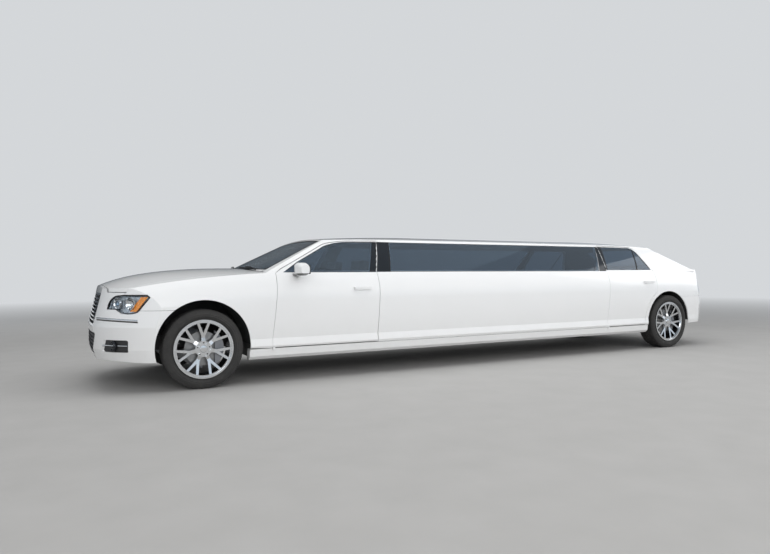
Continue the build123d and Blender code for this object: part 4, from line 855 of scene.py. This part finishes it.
# %% Black tape on the door frames
TAPES = (
    ("front", (-1.725, 1.072, -1.860), (-1.845, 1.389, -2.000)),
    ("rear", (-5.245, 1.088, -5.150), (-5.315, 1.389, -5.215)),
)
TAPE_ROWS, TAPE_COLUMNS = 16, 24
BODY_SIDE = 0.5
GAP_FOOT, GAP_TOP = 1.073, 1.386


def cover_edge(start, step, z, side, way):
    """The middle of the gap beside a pillar cover, found by feeling along the car for its edge."""
    doors = "door_front_{0} door_front_{0}_glass door_rear_{0} door_rear_{0}_glass".format(side)
    for i in range(125):
        place = from_side("pillar_covers", start + step * i, z, way, -0.002)
        door_place = from_side(doors, start + step * i, z, way)
        open_to_view = door_place is None or (place and place.y * way > door_place.y * way)
        if place and place.y * way > BODY_SIDE and open_to_view:
            return place - Vector((math.copysign(0.003, step), 0, 0))
    return None


def tape_point(door, way, x, z):
    """A point on a door or its glass, unless something fixed lies over it."""
    place = from_side(door + " " + door + "_glass", x, z, way, 0.0008)
    other = from_side("pillar_covers stretch_panels roof", x, z, way)
    if place is None or place.y * way < BODY_SIDE or (other and other.y * way > place.y * way):
        return None
    return place


for side, way in SIDES:
    for end, (low_start, low_z, low_end), (high_start, high_z, high_end) in TAPES:
        door = "door_%s_%s" % (end, side)
        tape = bmesh.new()
        rows_made = []
        for rise in (row / TAPE_ROWS for row in range(TAPE_ROWS + 1)):
            line = []
            for share in (column / TAPE_COLUMNS for column in range(TAPE_COLUMNS + 1)):
                x = (low_start + (low_end - low_start) * share) * (1 - rise)
                x += (high_start + (high_end - high_start) * share) * rise
                place = tape_point(door, way, x, low_z + (high_z - low_z) * rise)
                line.append(place and tape.verts.new(place))
            rows_made.append(line)
        for under, over in zip(rows_made, rows_made[1:]):
            for corners in zip(under, under[1:], over[1:], over):
                if all(corners) and max(c.co.y for c in corners) - min(c.co.y for c in corners) < 0.02:
                    tape.faces.new(corners)
        bmesh.ops.delete(tape, geom=[v for v in tape.verts if not v.link_faces], context="VERTS")
        if way < 0:
            bmesh.ops.reverse_faces(tape, faces=tape.faces[:])
        piece("frame_tape_%s_%s" % (end, side), tape, DARK_GLOSS, door, smooth=True, turned_out=False,
              wall=(0.0008, 0.0))
    gaps = []
    for x0, x1, shift in ((-1.980, -2.058, 0.007), (-5.071, -5.194, -0.009)):
        spots = [(x0 + (x1 - x0) * i / 8, GAP_FOOT + (GAP_TOP - GAP_FOOT) * i / 8) for i in range(9)]
        places = found(from_side("stretch_windows", x, z, way, -0.003) for x, z in spots)
        gaps.append([place + Vector((shift, 0, 0)) for place in places])
    for start, step in ((-1.80, -0.002), (-5.30, 0.002)):
        gaps.append(found(cover_edge(start, step, GAP_FOOT + 0.312 * i / 8, side, way) for i in range(9)))
    rod("gap_seals_" + side, gaps, 0.005, SEAL, sides=8)

# %% [markdown]
# The windshield and the rear window have a black band printed round their edge, which hides the glue.
# It is a thin strip laid on the glass, found by looking down on it.

# %% Bands of the end windows
def plan_edge(glass_name, count=64):
    """The outline of a window in plan: the farthest points that still lie on its glass."""
    low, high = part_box(glass_name)
    centre = Vector(((low.x + high.x) / 2, 0))
    outline = []
    for i in range(count):
        angle = math.tau * i / count
        out = Vector((math.cos(angle) * (high.x - low.x), math.sin(angle) * (high.y - low.y))) * 0.75
        near, far = 0.0, 1.0
        for _ in range(14):
            share = (near + far) / 2
            if from_above(glass_name, *(centre + out * share)):
                near = share
            else:
                far = share
        outline.append(centre + out * near)
    return outline


def end_band(glass_name, width):
    """A strip that follows the outline of a window, pressed onto the glass from above."""
    strip = bmesh.new()
    outline = plan_edge(glass_name)
    centre = sum(outline, Vector((0, 0))) / len(outline)
    rings = []
    for inset in (0.004, 0.004 + width):
        spots = [spot + (centre - spot).normalized() * inset for spot in outline]
        places = [from_above(glass_name, *spot, 0.0008) for spot in spots]
        rings.append([place and strip.verts.new(place) for place in places])
    for i in range(len(outline)):
        corners = [rings[0][i - 1], rings[0][i], rings[1][i], rings[1][i - 1]]
        if all(corners):
            strip.faces.new(corners)
    piece(glass_name + "_band", strip, DARK_GLOSS, smooth=True, turned_out=False,
          wall=(0.0006, 0.0))


end_band("windshield", 0.045)
end_band("rear_window", 0.030)

# %% [markdown]
# ## Wipers
# Two arms rise from the cowl and hold their blades on the foot of the glass. Both are bars along lines
# that are dropped onto the glass.

# %% Wipers
SCREEN_HALF = 0.62
for name, pivot_y, tip_y in (("wiper_near", 0.60, 0.02), ("wiper_far", -0.02, -0.62)):
    blade = []
    for share in (step / 8 for step in range(9)):
        y = pivot_y - 0.02 + (tip_y - pivot_y) * share
        x = FRONT_AXLE - 0.578 + 0.055 * (1 - (y / SCREEN_HALF) ** 2)
        blade.append(from_above("windshield", x - 0.02 - 0.03 * share, y, 0.010))
    blade = found(blade)
    pivot_x = FRONT_AXLE - 0.580 + 0.06 * (1 - (pivot_y / SCREEN_HALF) ** 2)
    foot = from_above("cowl hood windshield roof", pivot_x, pivot_y, 0.004)
    middle = blade[len(blade) // 2] + Vector((0.004, 0, 0.012))
    arm = [foot, (foot + middle) / 2 + Vector((0, 0, 0.014)), middle]
    rod(name, [blade, arm], 0.0055, BLACK_PLASTIC, sides=8)

# %% [markdown]
# ## Door mirrors
# The shell is a solid part in body white with a black foot, so its paint turns black below a height. The
# silvered glass and its black surround sit in the face that looks back.

# %% Mirror glass
MIRROR_Y = 1.005
cover = Finish("mirror_shell")
upper = cover.axis("Z").over(1.0535)
MIRROR_SHELL = cover.done(cover.shader(
    Base_Color=cover.blend(upper, (0.02, 0.02, 0.02, 1), (0.80, 0.81, 0.815, 1)),
    Roughness=0.30 + cover.noise(20.0) * 0.08, Coat_Weight=1.0, Coat_Roughness=0.05))
MIRROR_GLASS = metal("silvered_glass", (0.60, 0.66, 0.70, 1), (0.66, 0.71, 0.75, 1), 0.02, 5.0, 0.03)
for side, way in SIDES:
    nodes["mirror_" + side].data.materials[0] = MIRROR_SHELL
    y = way * MIRROR_Y
    face = touch("mirror_" + side, (FRONT_AXLE - 1.3, y, 1.090), (1, 0, 0))
    for name, grow, depth, finish in (
        ("mirror_surround_", 0.005, 0.004, BLACK_PLASTIC), ("mirror_glass_", 0.0, 0.006, MIRROR_GLASS),
    ):
        low = (face.x - depth, y - 0.062 - grow, 1.052 - grow)
        high = (face.x + 0.006, y + 0.062 + grow, 1.130 + grow)
        box_piece(name + side, low, high, 0.0028, finish, "door_front_" + side, split=40)

# %% [markdown]
# ## Tail
# Behind each red lens are upright silver ribs. The lid carries a bright strip and a blank plate in a
# frame, and the two tail pipes end in bright tips.

# %% Tail lamps, plate and pipe tips
for side, way in SIDES:
    spots = [way * (0.560 + 0.045 * step) for step in range(6)]
    ribs = found(from_behind("tail_lamps", y, 0.845, -0.020) for y in spots)
    ribs = [soft_box((x, y - 0.012, 0.765), (x + 0.010, y + 0.012, 0.930), 0.003, 2) for x, y, _ in ribs]
    piece("tail_lamp_ribs_" + side, joined(*ribs), SILVER)

strip = found(from_behind("trunk_lid", 0.50 * step / 12, 0.900) for step in range(-12, 13))
rod("lid_strip", [strip], 0.006, CHROME, "trunk_lid", sides=10)
PLATE_WIDTH, PLATE_TALL, PLATE_HEIGHT = 0.305, 0.152, 0.805
plate_back = from_behind("trunk_lid", 0.0, PLATE_HEIGHT)
tilt = math.atan2(from_behind("trunk_lid", 0.0, PLATE_HEIGHT + 0.06).x - plate_back.x, 0.06)
for name, grow, depth, finish in (
    ("plate_frame", 0.008, 0.0045, BLACK_PLASTIC), ("blank_plate", 0.0, 0.0062, WHITE),
):
    shape = soft_box((-depth, -PLATE_WIDTH / 2 - grow, -PLATE_TALL / 2 - grow),
                     (0.004, PLATE_WIDTH / 2 + grow, PLATE_TALL / 2 + grow), 0.0018, 2)
    piece(name, move(shape, plate_back, (0, tilt, 0)), finish, "trunk_lid")

tip = spun([(0, 0.0325), (0, 0.036), (0.002, 0.0385), (0.008, 0.039), (0.12, 0.036), (0.12, 0.0325)], 40, True)
for side, way in SIDES:
    shape = move(tip.copy(), (REAR_AXLE - 1.0275, way * 0.200, 0.280), (0, 0, math.radians(-90)))
    piece("pipe_tip_" + side, shape, CHROME, smooth=True)

# %% [markdown]
# ## Seats
# A seat is foam under leather. Each cushion starts as a box cut into many small faces. Its points are
# pushed out in the middle of each side and drawn in along the sewn channels, and a subdivision rounds
# the rest.

# %% A sewn cushion
CELL, DIP, CHANNEL_WIDTH = 0.03, 0.010, 0.010
ON_FACE = 0.999


def cushion(low, high, crown, channels=0, across_channels=0):
    """A crowned box with sewn channels along its length and across it."""
    shape = bmesh.new()
    bmesh.ops.create_cube(shape, size=2)
    size = Vector(b - a for a, b in zip(low, high)) / 2
    centre = Vector((a + b) / 2 for a, b in zip(low, high))
    for axis in range(3):
        cuts = max(2, min(24, round(2 * size[axis] / CELL)))
        normal = Vector((0, 0, 0))
        normal[axis] = 1
        for i in range(1, cuts):
            bmesh.ops.bisect_plane(shape, geom=shape.verts[:] + shape.edges[:] + shape.faces[:], dist=1e-6,
                                   plane_co=normal * (-1 + 2 * i / cuts), plane_no=normal)
    for vert in shape.verts:
        unit = vert.co.copy()
        place = Vector(unit[i] * size[i] for i in range(3))
        for axis in range(3):
            if abs(unit[axis]) > ON_FACE:
                swell = (1 - abs(unit[axis - 1]) ** 3) * (1 - abs(unit[axis - 2]) ** 3)
                place[axis] += math.copysign(crown * swell - crown, unit[axis])
        pull = 0.0
        if abs(unit[2]) > ON_FACE:
            for count, axis in ((channels, 1), (across_channels, 0)):
                for i in range(1, count):
                    gap = abs(unit[axis] - (-1 + 2 * i / count)) * size[axis]
                    pull = max(pull, DIP * math.exp(-(gap / CHANNEL_WIDTH) ** 2))
        place.z -= math.copysign(pull, unit[2])
        round_off = sum(abs(u) ** 6 for u in unit) - 1
        if round_off > 0:
            place *= 1 - min(0.05, 0.02 * round_off)
        vert.co = centre + place
    return shape


def leaned(shape, hinge, angle):
    """A cushion turned about a line across the car, by an angle in degrees."""
    matrix = Matrix.Rotation(math.radians(angle), 3, "Y")
    bmesh.ops.rotate(shape, cent=hinge, matrix=matrix, verts=shape.verts[:])
    return shape


def padded_piece(name, shape, replaced=()):
    made = piece(name, shape, LEATHER, smooth=True)
    rounded = made.modifiers.new("subsurf", "SUBSURF")
    rounded.levels = rounded.render_levels = 1
    if replaced:
        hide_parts(*replaced)


def upright_pad(name, half, y, crown, channels, angle, x, z):
    """A back or a head rest: a cushion from its half sizes, leaned back and set in its place."""
    shape = cushion((-half[0], y - half[1], -half[2]), (half[0], y + half[1], half[2]), crown, channels)
    padded_piece(name, move(leaned(shape, (0, y, 0), angle), (x, 0, z)))


# %% Front seats
SEAT_BASE = 0.262
replaced = ("front_seats",)
for side, way in SIDES:
    y = 0.37 * way
    seat = cushion((FRONT_AXLE - 1.735, y - 0.245, SEAT_BASE + 0.10), (FRONT_AXLE - 1.215, y + 0.245, 0.480),
                   0.020, channels=5)
    padded_piece("front_cushion_" + side, leaned(seat, (FRONT_AXLE - 1.60, y, 0.42), -5), replaced)
    replaced = ()
    upright_pad("front_back_" + side, (0.30, 0.240, 0.055), y, 0.018, 5, -110, FRONT_AXLE - 1.745, 0.755)
    upright_pad("head_rest_" + side, (0.075, 0.130, 0.045), y, 0.016, 0, -98, FRONT_AXLE - 1.838, 1.110)
    box_piece("seat_base_" + side, (FRONT_AXLE - 1.70, y - 0.20, SEAT_BASE + 0.002),
              (FRONT_AXLE - 1.25, y + 0.20, SEAT_BASE + 0.13), 0.02, TRIM_PLASTIC)

# %% [markdown]
# The saloon has a long bench on the right and a seat across the rear. The bench is a row of cushions on
# a plinth. They take the place of one plain solid.

# %% Saloon seats
BENCH_FRONT, BENCH_REAR = 0.498, REAR_AXLE + 0.640
BENCH_SIDE = -0.800
UNITS = 5
unit_length = (BENCH_FRONT - BENCH_REAR) / UNITS
box_piece("bench_plinth", (BENCH_REAR, BENCH_SIDE, SEAT_BASE + 0.002), (BENCH_FRONT, -0.540, 0.375), 0.012,
          TRIM_PLASTIC)
replaced = ("lounge_seats",)
for unit in range(UNITS):
    start = BENCH_REAR + unit * unit_length
    seat = cushion((start + 0.004, BENCH_SIDE, 0.372), (start + unit_length - 0.004, -0.522, 0.498), 0.014,
                   channels=3, across_channels=4)
    padded_piece("bench_cushion_%d" % (unit + 1), seat, replaced)
    replaced = ()
for unit, y in enumerate((-0.40, 0.0, 0.40)):
    low, high = (REAR_AXLE + 0.70, y - 0.195, 0.385), (REAR_AXLE + 1.165, y + 0.195, 0.510)
    seat = cushion(low, high, 0.018, channels=4)
    padded_piece("rear_cushion_%d" % (unit + 1), leaned(seat, (REAR_AXLE + 0.9, y, 0.44), -4))
    upright_pad("rear_back_%d" % (unit + 1), (0.32, 0.195, 0.06), y, 0.016, 4, -116, REAR_AXLE + 0.545, 0.75)
box_piece("rear_plinth", (REAR_AXLE + 0.66, -0.595, SEAT_BASE + 0.002), (REAR_AXLE + 1.13, 0.595, 0.390),
          0.012, TRIM_PLASTIC)

# %% [markdown]
# ## Cabin lining
# Steel panels would show white inside. The inner faces of the roof are copied, moved a little inwards
# and covered in cloth. Flat trim panels line the walls and the doors, and carpet covers the floor.

# %% Headliner
LINING_FOOT, CABIN_MIDDLE, LINING_LIFT = 1.10, 0.75, 0.003
shape = bmesh.new()
shape.from_mesh(nodes["roof"].data)
bmesh.ops.remove_doubles(shape, verts=shape.verts[:], dist=1e-5)
shape.normal_update()
outside = []
for face in shape.faces:
    middle = face.calc_center_median()
    inward = Vector((0, -middle.y, CABIN_MIDDLE - middle.z)).normalized()
    if face.normal.dot(inward) < 0.55 or middle.z < LINING_FOOT:
        outside.append(face)
bmesh.ops.delete(shape, geom=outside, context="FACES")
shape.normal_update()
for vert in shape.verts:
    vert.co += vert.normal * LINING_LIFT
piece("headliner", shape, CLOTH, turned_out=False)

# %% Wall and door trim, carpets
TRIM_INNER, TRIM_OUTER, TRIM_TOP = 0.812, 0.8195, 1.045
box_piece("floor_carpet", (REAR_AXLE + 0.595, -0.812, SEAT_BASE + 0.0005),
          (FRONT_AXLE - 0.505, 0.812, SEAT_BASE + 0.007), 0.002, CARPET, segments=1)
box_piece("boot_carpet", (REAR_AXLE - 0.885, -0.60, 0.443), (REAR_AXLE + 0.28, 0.60, 0.449), 0.002, CARPET,
          segments=1)
for side, way in SIDES:
    low_y, high_y = sorted((way * TRIM_INNER, way * TRIM_OUTER))
    for name, body, x0, x1, foot in (
        ("wall_trim_" + side, "body", -1.80, 1.14, 0.505 if way < 0 else 0.34),
        ("door_trim_front_" + side, "door_front_" + side, 1.52, 2.20, 0.37),
        ("door_trim_rear_" + side, "door_rear_" + side, -2.44, -1.98, 0.52),
    ):
        box_piece(name, (x0, low_y, foot), (x1, high_y, TRIM_TOP), 0.003, LEATHER, body, segments=2)

# %% [markdown]
# ## Under the hood
# The engine is one plain block, so a ribbed cover and a filler cap are set on it.

# %% Engine cover and filler cap
shapes = [soft_box((FRONT_AXLE - 0.36, -0.200, 0.858), (FRONT_AXLE + 0.40, 0.200, 0.886), 0.010)]
for y in (-0.15 + 0.06 * step for step in range(6)):
    low, high = (FRONT_AXLE - 0.30, y - 0.010, 0.884), (FRONT_AXLE + 0.34, y + 0.010, 0.892)
    shapes.append(soft_box(low, high, 0.003, 2))
piece("engine_cover", joined(*shapes), TRIM_PLASTIC)
filler = spun([(0.0, 0.0), (0.0, 0.026), (0.010, 0.030), (0.022, 0.030), (0.026, 0.024), (0.026, 0.0)], 24)
piece("filler_cap", move(filler, (FRONT_AXLE + 0.36, 0.12, 0.862), (math.radians(90), 0, 0)), BLACK_PLASTIC)

# %% [markdown]
# ## Dashboard
# A hood over the dials, a screen in the middle and three air outlets break up the plain block.

# %% Dials, screen and outlets
for name, x0, x1, y0, y1, z0, z1, radius, finish in (
    ("dial_hood", 0.935, 0.78, 0.20, 0.54, 0.970, 1.035, 0.02, TRIM_PLASTIC),
    ("dash_screen", 0.962, 0.948, -0.11, 0.11, 0.875, 0.970, 0.004, DARK_GLOSS),
    ("air_outlet_left", 0.960, 0.944, 0.61, 0.71, 0.90, 0.955, 0.006, CHROME),
    ("air_outlet_right", 0.960, 0.944, -0.71, -0.61, 0.90, 0.955, 0.006, CHROME),
    ("air_outlet_middle", 0.960, 0.944, -0.29, -0.19, 0.90, 0.955, 0.006, CHROME),
):
    box_piece(name, (FRONT_AXLE - x0, y0, z0), (FRONT_AXLE - x1, y1, z1), radius, finish)
